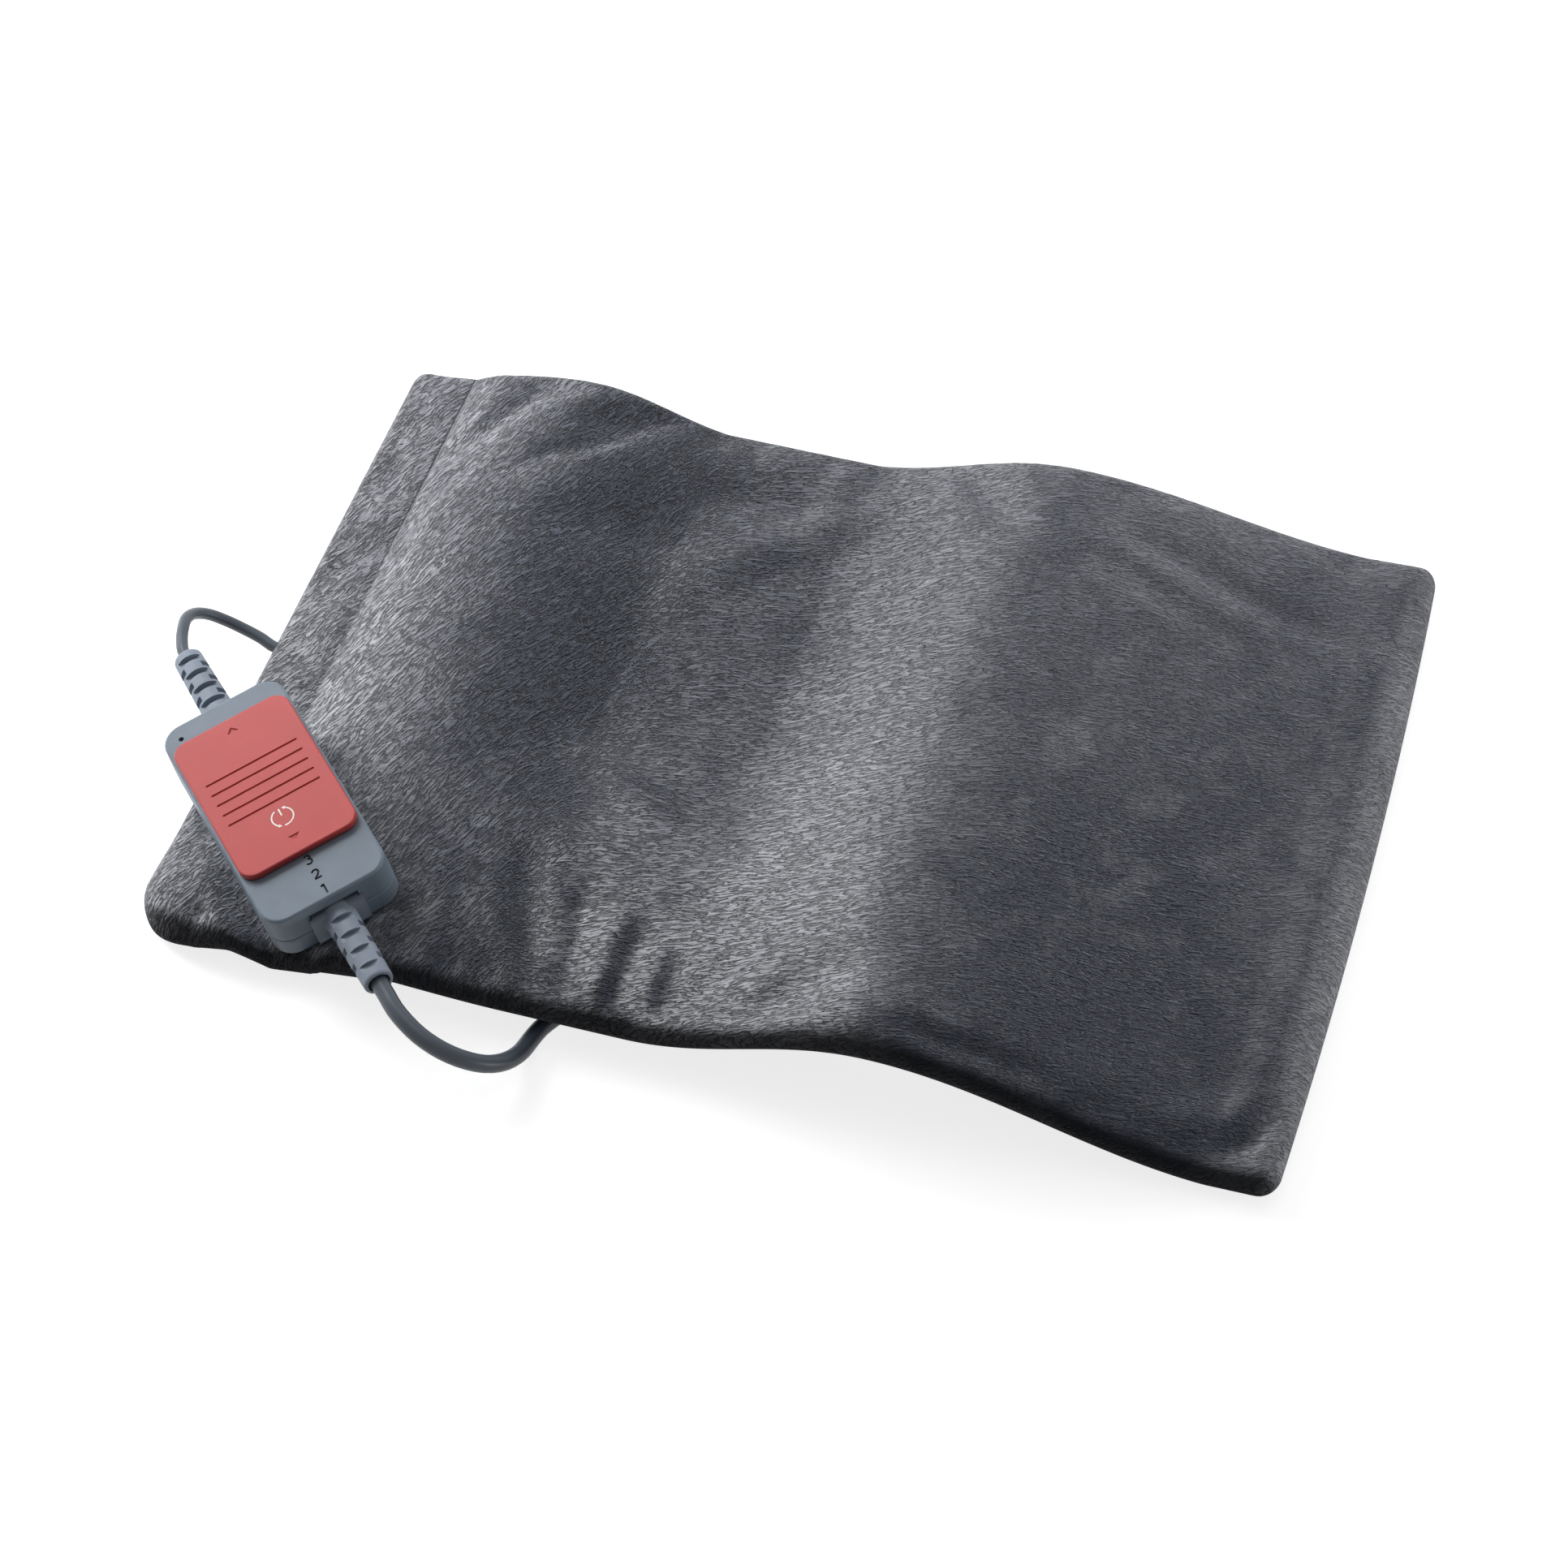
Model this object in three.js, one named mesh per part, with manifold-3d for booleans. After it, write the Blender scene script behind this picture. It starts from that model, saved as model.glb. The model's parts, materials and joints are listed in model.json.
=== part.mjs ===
// Electric heating pad in a plush cover, lying in soft waves on a surface.
// Its slide controller rests on the front left corner, and its mains cord is coiled under the pad.
// Millimetres, +Z up. The pad's long side runs along X. Its front, with the controller, is at -Y.
import * as THREE from "three";
import { mergeVertices } from "three/addons/utils/BufferGeometryUtils.js";
import Module from "manifold-3d";

const wasm = await Module();
wasm.setup();

// Fits and cuts
const clearance = 0.3;
const overrun = 1;

// Pad in plan
const padLength = 460;
const padWidth = 340;
const cornerRadius = 9;
const tuckedCornerRadius = 24;
const backBow = 4.5;
const frontBow = 1.5;
const endBow = 4;

// Pad in thickness, from its middle surface outwards
const heatingWireDiameter = 2.4;
const wireSlack = 1.1;
const feltThickness = 1.8;
const plushThickness = 2.6;
const wireSpace = heatingWireDiameter / 2 + wireSlack;
const coreHalf = wireSpace + feltThickness;
const padHalf = coreHalf + clearance + plushThickness;
const hemHalf = 5;
const stitchDip = 1.1;
const cornerPlump = 4.5;
const cornerPlumpReach = 17;
const cornerPlumpInset = 18;

// Hem at the mouth of the cover, and the edge of the heating core
const hemWidth = 29;
const stitchWidth = 3;
const hemToCore = 9;
const coreInset = 8;
const edgeStep = 2;

// Cords
const cordDiameter = 7.2;
const leadDiameter = 5;
const cordSides = 8;
const coilSides = 6;
const coilStepsPerTurn = 24;
const coilDiametersAcross = 11.4;
const coilGap = 0.5;
const coilTurnsPerLayer = 2.785;
const coilClimbTurns = 0.5;
const coilStartAngle = 160;
const coilShiftX = 2;
const coilInsetY = 75;

const cordRadius = cordDiameter / 2;
const coilPitch = cordDiameter + coilGap;
const coilMiddleRadius = coilDiametersAcross * cordRadius;
const coilHalfBand = (coilTurnsPerLayer + coilClimbTurns / 2) * coilPitch / 2;
const coilStartRadius = coilMiddleRadius + coilHalfBand;
const coilOuterRadius = coilStartRadius + cordRadius;
const coilHeight = cordDiameter + coilPitch;

// Waves of the lying pad: the main ridge arches over the coil and the plug
const mainRidgeShare = 0.304;
const mainRidgeHeadroom = 15.5;
const mainRidgeFall = 9;
const mainRidgeLeftFoot = 38;
const mainRidgeRightFoot = 88;
const mainRidgeLeftReach = coilOuterRadius + mainRidgeLeftFoot;
const mainRidgeRightReach = coilOuterRadius + mainRidgeRightFoot;
const mainFrontRise = coilHeight + mainRidgeHeadroom;
const leftRidgeShare = -0.62;
const leftRidgeFrontRise = 11.5;
const leftRidgeBackRise = 14.5;
const leftRidgeLeftReach = 88;
const leftRidgeRightReach = 68;
const cordTunnelPlay = 1.2;
const cordTunnelRise = cordDiameter + cordTunnelPlay;
const cordTunnelStartShare = 0.2;
const cordTunnelEndShare = 0.45;
const restCut = 0.5;

// Controller housing, from its own bottom centre
const housingLength = 115;
const housingWidth = 54;
const housingHeight = 22;
const housingCorner = 9.5;
const housingEdge = 1.3;
const housingWall = 2;
const housingFloor = 2.4;
const housingRoof = 2;
const partingHeight = 9;
const cordAxisHeight = 10.5;

// Where the controller lies on the pad
const controllerInsetX = 47.9;
const controllerInsetY = 55.9;
const controllerTurn = 44;
const controllerTilt = 12.1;
const seatLift = 0.9;
const seatMargin = 13;
const reliefMargin = 9;
const seatSlope = 0.75;

// Slider plate and its travel: four settings, the last one flush with the housing's end
const sliderTopInset = 12.7;
const sliderTravelShare = 0.2139;
const sliderTravel = housingLength * sliderTravelShare;
const sliderLength = housingLength - sliderTopInset - sliderTravel;
const sliderSideInset = 1.5;
const sliderWidth = housingWidth - 2 * sliderSideInset;
const sliderHeight = 2.9;
const sliderCorner = 6.5;
const sliderEdge = 0.6;
const sliderTop = housingLength / 2 - sliderTopInset;
const gripCount = 5;
const gripPitch = 5.8;
const gripInset = 26.2;
const gripFirst = sliderTop - gripInset;
const gripEndInset = 5.25;
const gripLength = sliderWidth - 2 * gripEndInset;
const gripWidth = 0.9;
const gripDepth = 0.6;

// Carriage, contacts and detent below the slider
const slotWidth = 14;
const slotCover = 2.4;
const slotEnd = sliderTop - sliderTravel - slotCover;
const carriageShare = 0.295;
const carriageLength = sliderLength * carriageShare;
const carriageWidth = 24;
const carriageThickness = 2.6;
const bridgeWidth = 14;
const bridgeShare = 0.8;
const bridgeLength = carriageLength * bridgeShare;
const bridgeDrop = 2.4;
const bladeThickness = 0.5;
const stripWidth = 3.6;
const stripPitch = 5.6;
const stripCount = 3;
const switchBaseWidth = 19;
const switchBaseHeight = 5.4;
const detentReach = 2.6;
const detentShare = 0.66;
const detentLength = carriageLength * detentShare;
const detentHeight = 2;
const detentRailWidth = 2.4;
const detentNotch = 0.8;

// Circuit board and what stands on it
const boardHeight = 5.7;
const boardThickness = 1.6;
const boardSideRoom = 8;
const boardEndRoom = 23;
const boardNeckSideRoom = 12;
const boardWidth = housingWidth - boardSideRoom;
const boardLength = housingLength - 2 * boardEndRoom;
const boardNeckWidth = housingWidth - 2 * boardNeckSideRoom;
const boardPostRadius = 2.4;
const boardPostInset = 5;
const lampInsetX = 8;
const lampInsetY = 7.8;
const lampX = lampInsetX - housingWidth / 2;
const lampY = housingLength / 2 - lampInsetY;
const lampDiameter = 3;
const lampHoleDiameter = 2.2;
const lampHeight = 5;
const lampArmWidth = 2.2;
const lampPadHalf = 3;
const lampLegRadius = 0.3;
const lampLegPitch = 1.3;
const capacitorLength = 15;
const capacitorWidth = 8;
const capacitorHeight = 8;
const triacLength = 10;
const triacWidth = 4.6;
const triacHeight = 8;
const triacTab = 1.3;
const chipLength = 9.6;
const chipWidth = 6.4;
const chipHeight = 3.4;
const fuseLength = 20;
const fuseDiameter = 5.2;
const sidePartX = (housingWidth / 2 - housingWall + switchBaseWidth / 2) / 2;
const terminalWidth = 17;
const terminalDepth = 6;
const terminalHeight = 9;
const terminalScrewRadius = 1.6;

// Strain reliefs, measured outwards from the housing's end wall
const reliefLength = 39;
const reliefBaseDiameter = 13.6;
const reliefTipDiameter = 12;
const reliefTipRound = 1;
const reliefSlotPitch = 8.65;
const reliefSlotLength = 3;
const reliefSlotStart = 7.6;
const reliefSlotCount = 4;
const reliefWall = 0.9;
const flangeWidth = 23;
const flangeHeight = 12.4;
const flangeDrop = 1.5;
const mainsFlangeDepth = 2.6;
const leadFlangeDepth = 2;
const windowWidth = 20.4;
const windowHeight = 9.4;
const windowHeadroom = 2.3;
const innerFlangeDepth = 2.2;

// Cord clamps inside the housing, and screws
const clampWidth = 22;
const clampLength = 6;
const clampThickness = 2.6;
const clampInset = 9;
const clampPlace = housingLength / 2 - clampInset;
const clampScrewSpread = 15.6;
const clampScrewRadius = 1;
const clampHeadRadius = 2;
const clampHeadHeight = 1.4;
const clampScrewLength = 7;
const cordEndInset = 12.5;
const cordEndPlace = housingLength / 2 - cordEndInset;
const boardNeckReach = cordEndPlace;
const lampArmX = clampWidth / 2 + lampArmWidth / 2;
const housingScrewInsetX = 4.6;
const housingScrewInsetY = 15;
const housingScrewX = housingWidth / 2 - housingScrewInsetX;
const housingScrewY = housingLength / 2 - housingScrewInsetY;
const housingScrewRadius = 1.2;
const housingHeadRadius = 2.2;
const housingHeadHeight = 1.2;
const housingScrewLength = 13;
const bossRadius = 3;

// Lead entry block and cut-outs in the heating core
const leadEntryY = -8;
const entryLength = 20;
const entryWidth = 22;
const entryHalf = 3.1;
const entryInset = 40;
const entryCorner = 3;
const cutoutLength = 12;
const cutoutWidth = 5;
const cutoutHalf = 1.3;
const cutoutSpread = 6;
const wireRuns = 8;
const wireSides = 5;
const wireRunInset = 26;
const wireFirstRun = 84;
const wireReturnInset = 12;
const wireTurnRadius = 9;
const wireTurnSteps = 8;

// Plug: flat two-pin body with a tapered sleeve, its cord end at the origin and its pins along +Y
const plugSleeveLength = 22;
const plugSleeveRadius = 4.6;
const plugSleeveBaseRadius = 6;
const plugLength = 36;
const plugWidth = 35.3;
const plugBackWidth = 15;
const plugShoulder = 17;
const plugHeight = 13.7;
const plugEdge = 1.6;
const pinDiameter = 4;
const pinSpacing = 18.6;
const pinLength = 19;
const pinDepth = 10;
const pinTip = 1;
const plugPlaceX = 3;
const plugGapToCoil = 32;
const tailSteps = 20;
const cordSteps = 34;
const leadSteps = 24;

const finish = {
  plush: { color: 0x55575d, roughness: 0.96, metalness: 0 },
  felt: { color: 0xd8d4cb, roughness: 0.95, metalness: 0 },
  wire: { color: 0xe9e4da, roughness: 0.5, metalness: 0 },
  housing: { color: 0x77828f, roughness: 0.5, metalness: 0 },
  slider: { color: 0xc0504f, roughness: 0.38, metalness: 0 },
  relief: { color: 0x7e8896, roughness: 0.55, metalness: 0 },
  cord: { color: 0x565e69, roughness: 0.45, metalness: 0 },
  insulator: { color: 0xe6e2d8, roughness: 0.6, metalness: 0 },
  darkPlastic: { color: 0x26282c, roughness: 0.5, metalness: 0 },
  board: { color: 0x2f6b45, roughness: 0.45, metalness: 0 },
  copper: { color: 0xb87a4b, roughness: 0.35, metalness: 1 },
  steel: { color: 0xb9bcc0, roughness: 0.3, metalness: 1 },
  lamp: { color: 0x7d1a17, roughness: 0.25, metalness: 0 },
};

const part = new THREE.Group();
const controller = new THREE.Group();
const halfLength = padLength / 2;
const halfWidth = padWidth / 2;
const halfHousing = housingLength / 2;

// Small tools for solids
function toSolid(geometry) {
  const bare = geometry.clone();
  bare.deleteAttribute("normal");
  bare.deleteAttribute("uv");
  const merged = mergeVertices(bare);
  const mesh = new wasm.Mesh({
    numProp: 3,
    vertProperties: Float32Array.from(merged.attributes.position.array),
    triVerts: Uint32Array.from(merged.index.array),
  });
  return new wasm.Manifold(mesh);
}

function toGeometry(solid) {
  const mesh = solid.getMesh();
  const geometry = new THREE.BufferGeometry();
  geometry.setAttribute("position", new THREE.BufferAttribute(Float32Array.from(mesh.vertProperties), 3));
  geometry.setIndex(new THREE.BufferAttribute(Uint32Array.from(mesh.triVerts), 1));
  geometry.computeVertexNormals();
  return geometry;
}

function join(first, ...others) {
  return toGeometry(others.reduce((solid, geometry) => solid.add(toSolid(geometry)), toSolid(first)));
}

function cut(first, ...others) {
  return toGeometry(others.reduce((solid, geometry) => solid.subtract(toSolid(geometry)), toSolid(first)));
}

function common(first, second) {
  return toGeometry(toSolid(first).intersect(toSolid(second)));
}

function place(name, geometry, look, group = controller) {
  const mesh = new THREE.Mesh(geometry, new THREE.MeshStandardMaterial(finish[look]));
  mesh.name = name;
  group.add(mesh);
  return mesh;
}

// A box from its low corner to its high corner
function box(lowX, lowY, lowZ, highX, highY, highZ) {
  const geometry = new THREE.BoxGeometry(highX - lowX, highY - lowY, highZ - lowZ);
  return geometry.translate((lowX + highX) / 2, (lowY + highY) / 2, (lowZ + highZ) / 2);
}

// A round bar along Z
function bar(radius, lowZ, highZ, segments = 12) {
  const geometry = new THREE.CylinderGeometry(radius, radius, highZ - lowZ, segments);
  return geometry.rotateX(Math.PI / 2).translate(0, 0, (lowZ + highZ) / 2);
}

function roundedOutline(width, length, radius) {
  const x = width / 2 - radius;
  const y = length / 2 - radius;
  const outline = new THREE.Shape();
  outline.absarc(x, y, radius, 0, Math.PI / 2);
  outline.absarc(-x, y, radius, Math.PI / 2, Math.PI);
  outline.absarc(-x, -y, radius, Math.PI, 1.5 * Math.PI);
  outline.absarc(x, -y, radius, 1.5 * Math.PI, 2 * Math.PI);
  return outline;
}

// A block with round corners in plan and round edges above and below
function roundedBlock(width, length, height, radius, edge, curveSegments = 5) {
  const outline = roundedOutline(width - 2 * edge, length - 2 * edge, radius - edge);
  const options = {
    depth: height - 2 * edge,
    bevelThickness: edge,
    bevelSize: edge,
    bevelSegments: Math.ceil(curveSegments / 2),
    curveSegments,
  };
  return new THREE.ExtrudeGeometry(outline, options).translate(0, 0, edge);
}

function plainBlock(width, length, radius, lowZ, highZ) {
  const outline = roundedOutline(width, length, radius);
  const options = { depth: highZ - lowZ, bevelEnabled: false, curveSegments: 5 };
  return new THREE.ExtrudeGeometry(outline, options).translate(0, 0, lowZ);
}

// A round tube along a curve
function tube(points, diameter, sides, steps) {
  const section = new THREE.Shape();
  for (let k = 0; k < sides; k += 1) {
    const angle = 2 * Math.PI * (k + 0.5) / sides;
    const x = diameter / 2 * Math.cos(angle);
    const y = diameter / 2 * Math.sin(angle);
    if (k === 0) section.moveTo(x, y);
    else section.lineTo(x, y);
  }
  section.closePath();
  const extrudePath = new THREE.CatmullRomCurve3(points);
  return new THREE.ExtrudeGeometry(section, { steps, extrudePath, bevelEnabled: false, curveSegments: 1 });
}

// A round strand whose rings lie exactly at the points of a level or nearly level line
function strand(points, diameter, sides) {
  const positions = [];
  const index = [];
  points.forEach((point, k) => {
    const before = points[Math.max(k - 1, 0)];
    const after = points[Math.min(k + 1, points.length - 1)];
    const ahead = after.clone().sub(before).normalize();
    const out = ahead.clone().cross(new THREE.Vector3(0, 0, 1)).normalize();
    const up = out.clone().cross(ahead);
    for (let s = 0; s < sides; s += 1) {
      const angle = 2 * Math.PI * s / sides;
      const corner = point.clone().addScaledVector(out, diameter / 2 * Math.cos(angle));
      positions.push(...corner.addScaledVector(up, diameter / 2 * Math.sin(angle)).toArray());
    }
  });
  for (let k = 0; k < points.length - 1; k += 1) {
    for (let s = 0; s < sides; s += 1) {
      const a = k * sides + s;
      const b = k * sides + (s + 1) % sides;
      index.push(a, a + sides, b + sides, a, b + sides, b);
    }
  }
  const last = (points.length - 1) * sides;
  for (let s = 1; s < sides - 1; s += 1) {
    index.push(0, s, s + 1);
    index.push(last, last + s + 1, last + s);
  }
  const geometry = new THREE.BufferGeometry();
  geometry.setAttribute("position", new THREE.Float32BufferAttribute(positions, 3));
  geometry.setIndex(index);
  geometry.computeVertexNormals();
  return geometry;
}

// Shape of the lying pad
function smooth(value) {
  const t = THREE.MathUtils.clamp(value, 0, 1);
  return t * t * (3 - 2 * t);
}

function hump(offset, leftReach, rightReach) {
  const t = Math.min(Math.abs(offset) / (offset < 0 ? leftReach : rightReach), 1);
  return (1 + Math.cos(Math.PI * t)) / 2;
}

const mainCrest = mainRidgeShare * halfLength;
const leftCrest = leftRidgeShare * halfLength;
const controllerX = controllerInsetX - halfLength;
const controllerY = controllerInsetY - halfWidth;
const turn = THREE.MathUtils.degToRad(controllerTurn);
const tilt = THREE.MathUtils.degToRad(controllerTilt);
const controllerZ = 2 * padHalf + clearance + housingWidth / 2 * Math.sin(tilt) + seatLift;

// Height of the underside above the surface, before anything rests on the pad
function freeLift(x, y) {
  const back = (y + halfWidth) / padWidth;
  const main = hump(x - mainCrest, mainRidgeLeftReach, mainRidgeRightReach);
  const left = hump(x - leftCrest, leftRidgeLeftReach, leftRidgeRightReach);
  const between = x > leftCrest && x < mainCrest ? (1 - main) * (1 - left) : 0;
  const tunnel = smooth((cordTunnelEndShare - back) / (cordTunnelEndShare - cordTunnelStartShare));
  const mainRise = mainFrontRise - mainRidgeFall * back;
  const leftRise = THREE.MathUtils.lerp(leftRidgeFrontRise, leftRidgeBackRise, back);
  const rise = mainRise * main + leftRise * left + (cordTunnelRise + restCut) * tunnel * between;
  return Math.max(rise - restCut, 0);
}

// Half of the thickness: thin in the hem, drawn in at its stitches, plump in the tucked corner
function freeHalf(x, y) {
  const fromEnd = x + halfLength;
  const filled = smooth((fromEnd - hemWidth) / hemToCore);
  const stitch = Math.max(1 - Math.abs(fromEnd - hemWidth) / stitchWidth, 0);
  const cornerX = fromEnd - cornerPlumpInset;
  const cornerY = y + halfWidth - cornerPlumpInset;
  const plump = cornerPlump * Math.exp(-(cornerX ** 2 + cornerY ** 2) / (2 * cornerPlumpReach ** 2));
  return THREE.MathUtils.lerp(hemHalf, padHalf, filled) - stitchDip * stitch + plump;
}

// Highest place that the pad may reach under the controller and under its strain reliefs
function seatLimit(x, y) {
  const across = (x - controllerX) * Math.cos(turn) + (y - controllerY) * Math.sin(turn);
  const along = (y - controllerY) * Math.cos(turn) - (x - controllerX) * Math.sin(turn);
  const plane = controllerZ + across * Math.tan(tilt) - clearance;
  const beside = Math.max(Math.abs(across) - housingWidth / 2 - seatMargin, 0);
  const past = Math.max(Math.abs(along) - halfHousing - seatMargin, 0);
  const underHousing = plane + seatSlope * Math.hypot(beside, past);
  const reliefBeside = Math.max(Math.abs(across) - flangeWidth / 2 - reliefMargin, 0);
  const reliefPast = Math.max(Math.abs(along) - halfHousing - reliefLength - reliefMargin, 0);
  const reliefUnderside = plane + cordAxisHeight - flangeDrop - flangeHeight / 2 - overrun;
  const underRelief = reliefUnderside + seatSlope * Math.hypot(reliefBeside, reliefPast);
  return Math.min(underHousing, underRelief);
}

// Middle surface and half thickness where the controller presses the pad down
function padAt(x, y) {
  const limit = seatLimit(x, y);
  const half = Math.min(freeHalf(x, y), limit / 2);
  const lift = Math.max(Math.min(freeLift(x, y), limit - 2 * half), 0);
  return { half, middle: lift + half };
}

// Plan of the pad: round corners, bowed edges
function inPlan(x, y) {
  const radius = x < 0 && y < 0 ? tuckedCornerRadius : cornerRadius;
  const a = (Math.abs(x) - (halfLength - radius)) / radius;
  const b = (Math.abs(y) - (halfWidth - radius)) / radius;
  let planX = x;
  let planY = y;
  if (a > 0 && b > 0) {
    planX = Math.sign(x) * (halfLength - radius + radius * a * Math.sqrt(1 - b * b / 2));
    planY = Math.sign(y) * (halfWidth - radius + radius * b * Math.sqrt(1 - a * a / 2));
  }
  const alongShare = 1 - (x / halfLength) ** 2;
  const acrossShare = 1 - (y / halfWidth) ** 2;
  const backShare = (y + halfWidth) / padWidth;
  const endShare = (x + halfLength) / padLength;
  planY -= backBow * alongShare * backShare ** 3 + frontBow * alongShare * (1 - backShare) ** 3;
  planX += endBow * acrossShare * endShare ** 3;
  return [planX, planY];
}

// Lines of the grid that all layers of the pad share
function spread(low, high, pitch) {
  const count = Math.max(Math.round((high - low) / pitch), 1);
  return Array.from({ length: count + 1 }, (_, k) => low + (high - low) * k / count);
}

const gridPitch = 24;
const coreLeft = -halfLength + hemWidth + hemToCore;
const hemLines = [hemWidth - stitchWidth, hemWidth, hemWidth + stitchWidth].map((s) => s - halfLength);
const coreColumns = spread(coreLeft, halfLength - coreInset, gridPitch);
const coreRows = spread(coreInset - halfWidth, halfWidth - coreInset, gridPitch);

function coverColumns(inset) {
  const near = [inset, inset + edgeStep];
  const left = near.map((s) => s - halfLength);
  const right = near.map((s) => halfLength - s).reverse();
  return [...left, coreInset - halfLength, ...hemLines, ...coreColumns, ...right];
}

function coverRows(inset) {
  const near = [inset, inset + edgeStep];
  return [...near.map((s) => s - halfWidth), ...coreRows, ...near.map((s) => halfWidth - s).reverse()];
}

// A closed solid between an upper and a lower surface over one grid
function layer(upper, lower) {
  const columns = upper.columns.length;
  const rows = upper.rows.length;
  const positions = [];
  for (const surface of [upper, lower]) {
    for (const x of surface.columns) {
      for (const y of surface.rows) positions.push(...inPlan(x, y), surface.height(x, y));
    }
  }
  const index = [];
  const at = (i, j) => i * rows + j;
  const under = columns * rows;
  for (let i = 0; i < columns - 1; i += 1) {
    for (let j = 0; j < rows - 1; j += 1) {
      const [a, b, c, d] = [at(i, j), at(i + 1, j), at(i + 1, j + 1), at(i, j + 1)];
      index.push(a, b, c, a, c, d);
      index.push(a + under, c + under, b + under, a + under, d + under, c + under);
    }
  }
  const rim = [];
  for (let i = 0; i < columns - 1; i += 1) rim.push(at(i, 0));
  for (let j = 0; j < rows - 1; j += 1) rim.push(at(columns - 1, j));
  for (let i = columns - 1; i > 0; i -= 1) rim.push(at(i, rows - 1));
  for (let j = rows - 1; j > 0; j -= 1) rim.push(at(0, j));
  const widerAbove = upper.columns[0] < lower.columns[0];
  rim.forEach((a, k) => {
    const b = rim[(k + 1) % rim.length];
    if (widerAbove) index.push(a, a + under, b + under, a, b + under, b);
    else index.push(a, a + under, b, b, a + under, b + under);
  });
  const geometry = new THREE.BufferGeometry();
  geometry.setAttribute("position", new THREE.Float32BufferAttribute(positions, 3));
  geometry.setIndex(index);
  geometry.computeVertexNormals();
  return geometry;
}

// Quarter-round profile of an edge: 0 at the seam, 1 a radius inside it
function quarterRound(distance, radius) {
  const t = THREE.MathUtils.clamp(1 - distance / radius, 0, 1);
  return Math.sqrt(1 - t * t);
}

// Height above or below the middle surface of a face that closes on the seam at an inset
function shellHeight(x, y, inset) {
  const { half, middle } = padAt(x, y);
  const reach = half - inset;
  const seamX = halfLength - inset - Math.abs(x);
  const seamY = halfWidth - inset - Math.abs(y);
  const rise = reach * quarterRound(seamX, reach) * quarterRound(seamY, reach);
  return { middle, rise: Math.max(rise, clearance / 2) };
}

function coverPanel(side) {
  const faces = [0, plushThickness].map((inset) => ({
    columns: coverColumns(inset),
    rows: coverRows(inset),
    height: (x, y) => {
      const { middle, rise } = shellHeight(x, y, inset);
      return middle + side * rise;
    },
  }));
  return side > 0 ? layer(faces[0], faces[1]) : layer(faces[1], faces[0]);
}

// The felts lie apart by the wire's space and meet at their sewn edge
function feltSheet(side) {
  const onEdge = (x, y) => x <= coreColumns[0] || x >= coreColumns.at(-1)
    || y <= coreRows[0] || y >= coreRows.at(-1);
  const faces = [feltThickness, 0].map((thickness) => ({
    columns: coreColumns,
    rows: coreRows,
    height: (x, y) => padAt(x, y).middle + side * ((onEdge(x, y) ? clearance / 2 : wireSpace) + thickness),
  }));
  return side > 0 ? layer(faces[0], faces[1]) : layer(faces[1], faces[0]);
}

// Height of the middle surface on the flat faces of the grid
function middleOnGrid(x, y) {
  const columns = coverColumns(0);
  const rows = coverRows(0);
  const i = Math.min(Math.max(columns.findIndex((line) => line > x) - 1, 0), columns.length - 2);
  const j = Math.min(Math.max(rows.findIndex((line) => line > y) - 1, 0), rows.length - 2);
  const u = (x - columns[i]) / (columns[i + 1] - columns[i]);
  const v = (y - rows[j]) / (rows[j + 1] - rows[j]);
  const corner = (a, b) => padAt(columns[i + a], rows[j + b]).middle;
  if (u > v) return corner(0, 0) * (1 - u) + corner(1, 0) * (u - v) + corner(1, 1) * v;
  return corner(0, 0) * (1 - v) + corner(0, 1) * (v - u) + corner(1, 1) * u;
}

function onMiddle(x, y) {
  return new THREE.Vector3(...inPlan(x, y), middleOnGrid(x, y));
}

// Lays a flat piece in the pad's middle surface, tilted as the surface is there
function layInPad(mesh, x, y, reach) {
  const east = onMiddle(x + reach, y).sub(onMiddle(x - reach, y)).normalize();
  const north = onMiddle(x, y + reach).sub(onMiddle(x, y - reach)).normalize();
  const up = east.clone().cross(north).normalize();
  north.copy(up).cross(east);
  mesh.quaternion.setFromRotationMatrix(new THREE.Matrix4().makeBasis(east, north, up));
  mesh.position.copy(onMiddle(x - reach, y)).add(onMiddle(x + reach, y)).multiplyScalar(0.5);
  return mesh;
}

// Free part of the pad lead, from the controller's strain relief into the mouth of the cover
const entryLeft = entryInset - halfLength;
const entryX = entryLeft + entryLength / 2;
controller.position.set(controllerX, controllerY, controllerZ);
controller.rotation.set(0, -tilt, turn, "ZYX");
controller.updateMatrixWorld();

function fromController(x, y, z) {
  return new THREE.Vector3(x, y, z).applyMatrix4(controller.matrixWorld);
}

const leadExit = fromController(0, halfHousing + reliefLength + clearance, cordAxisHeight);
const leadExitAhead = fromController(0, halfHousing + reliefLength + leadDiameter, cordAxisHeight);
const leadRoute = [
  [-257.6, -35.8, 30.8],
  [-259.9, -28.6, 30.2],
  [-261.4, -21.9, 28.3],
  [-260.9, -15.2, 24.6],
  [-257.6, -9.7, 19.8],
  [-251.6, -6.6, 14.8],
  [-244.2, -5.6, 10.8],
  [-236.8, -6.2, 8.2],
];

function leadCurve() {
  const route = leadRoute.map((point) => new THREE.Vector3(...point));
  const inside = spread(-halfLength, entryLeft - clearance, leadDiameter)
    .map((x) => onMiddle(x, leadEntryY).setY(leadEntryY));
  return [leadExit, leadExitAhead, ...route, ...inside];
}

// Pad: cover, core and what the core holds
const leadPath = leadCurve();
const leadBore = tube(leadPath, leadDiameter + 2 * clearance, cordSides, leadSteps);
place("pad_cover_upper", cut(coverPanel(1), leadBore), "plush", part);
place("pad_cover_lower", cut(coverPanel(-1), leadBore), "plush", part);

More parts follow.
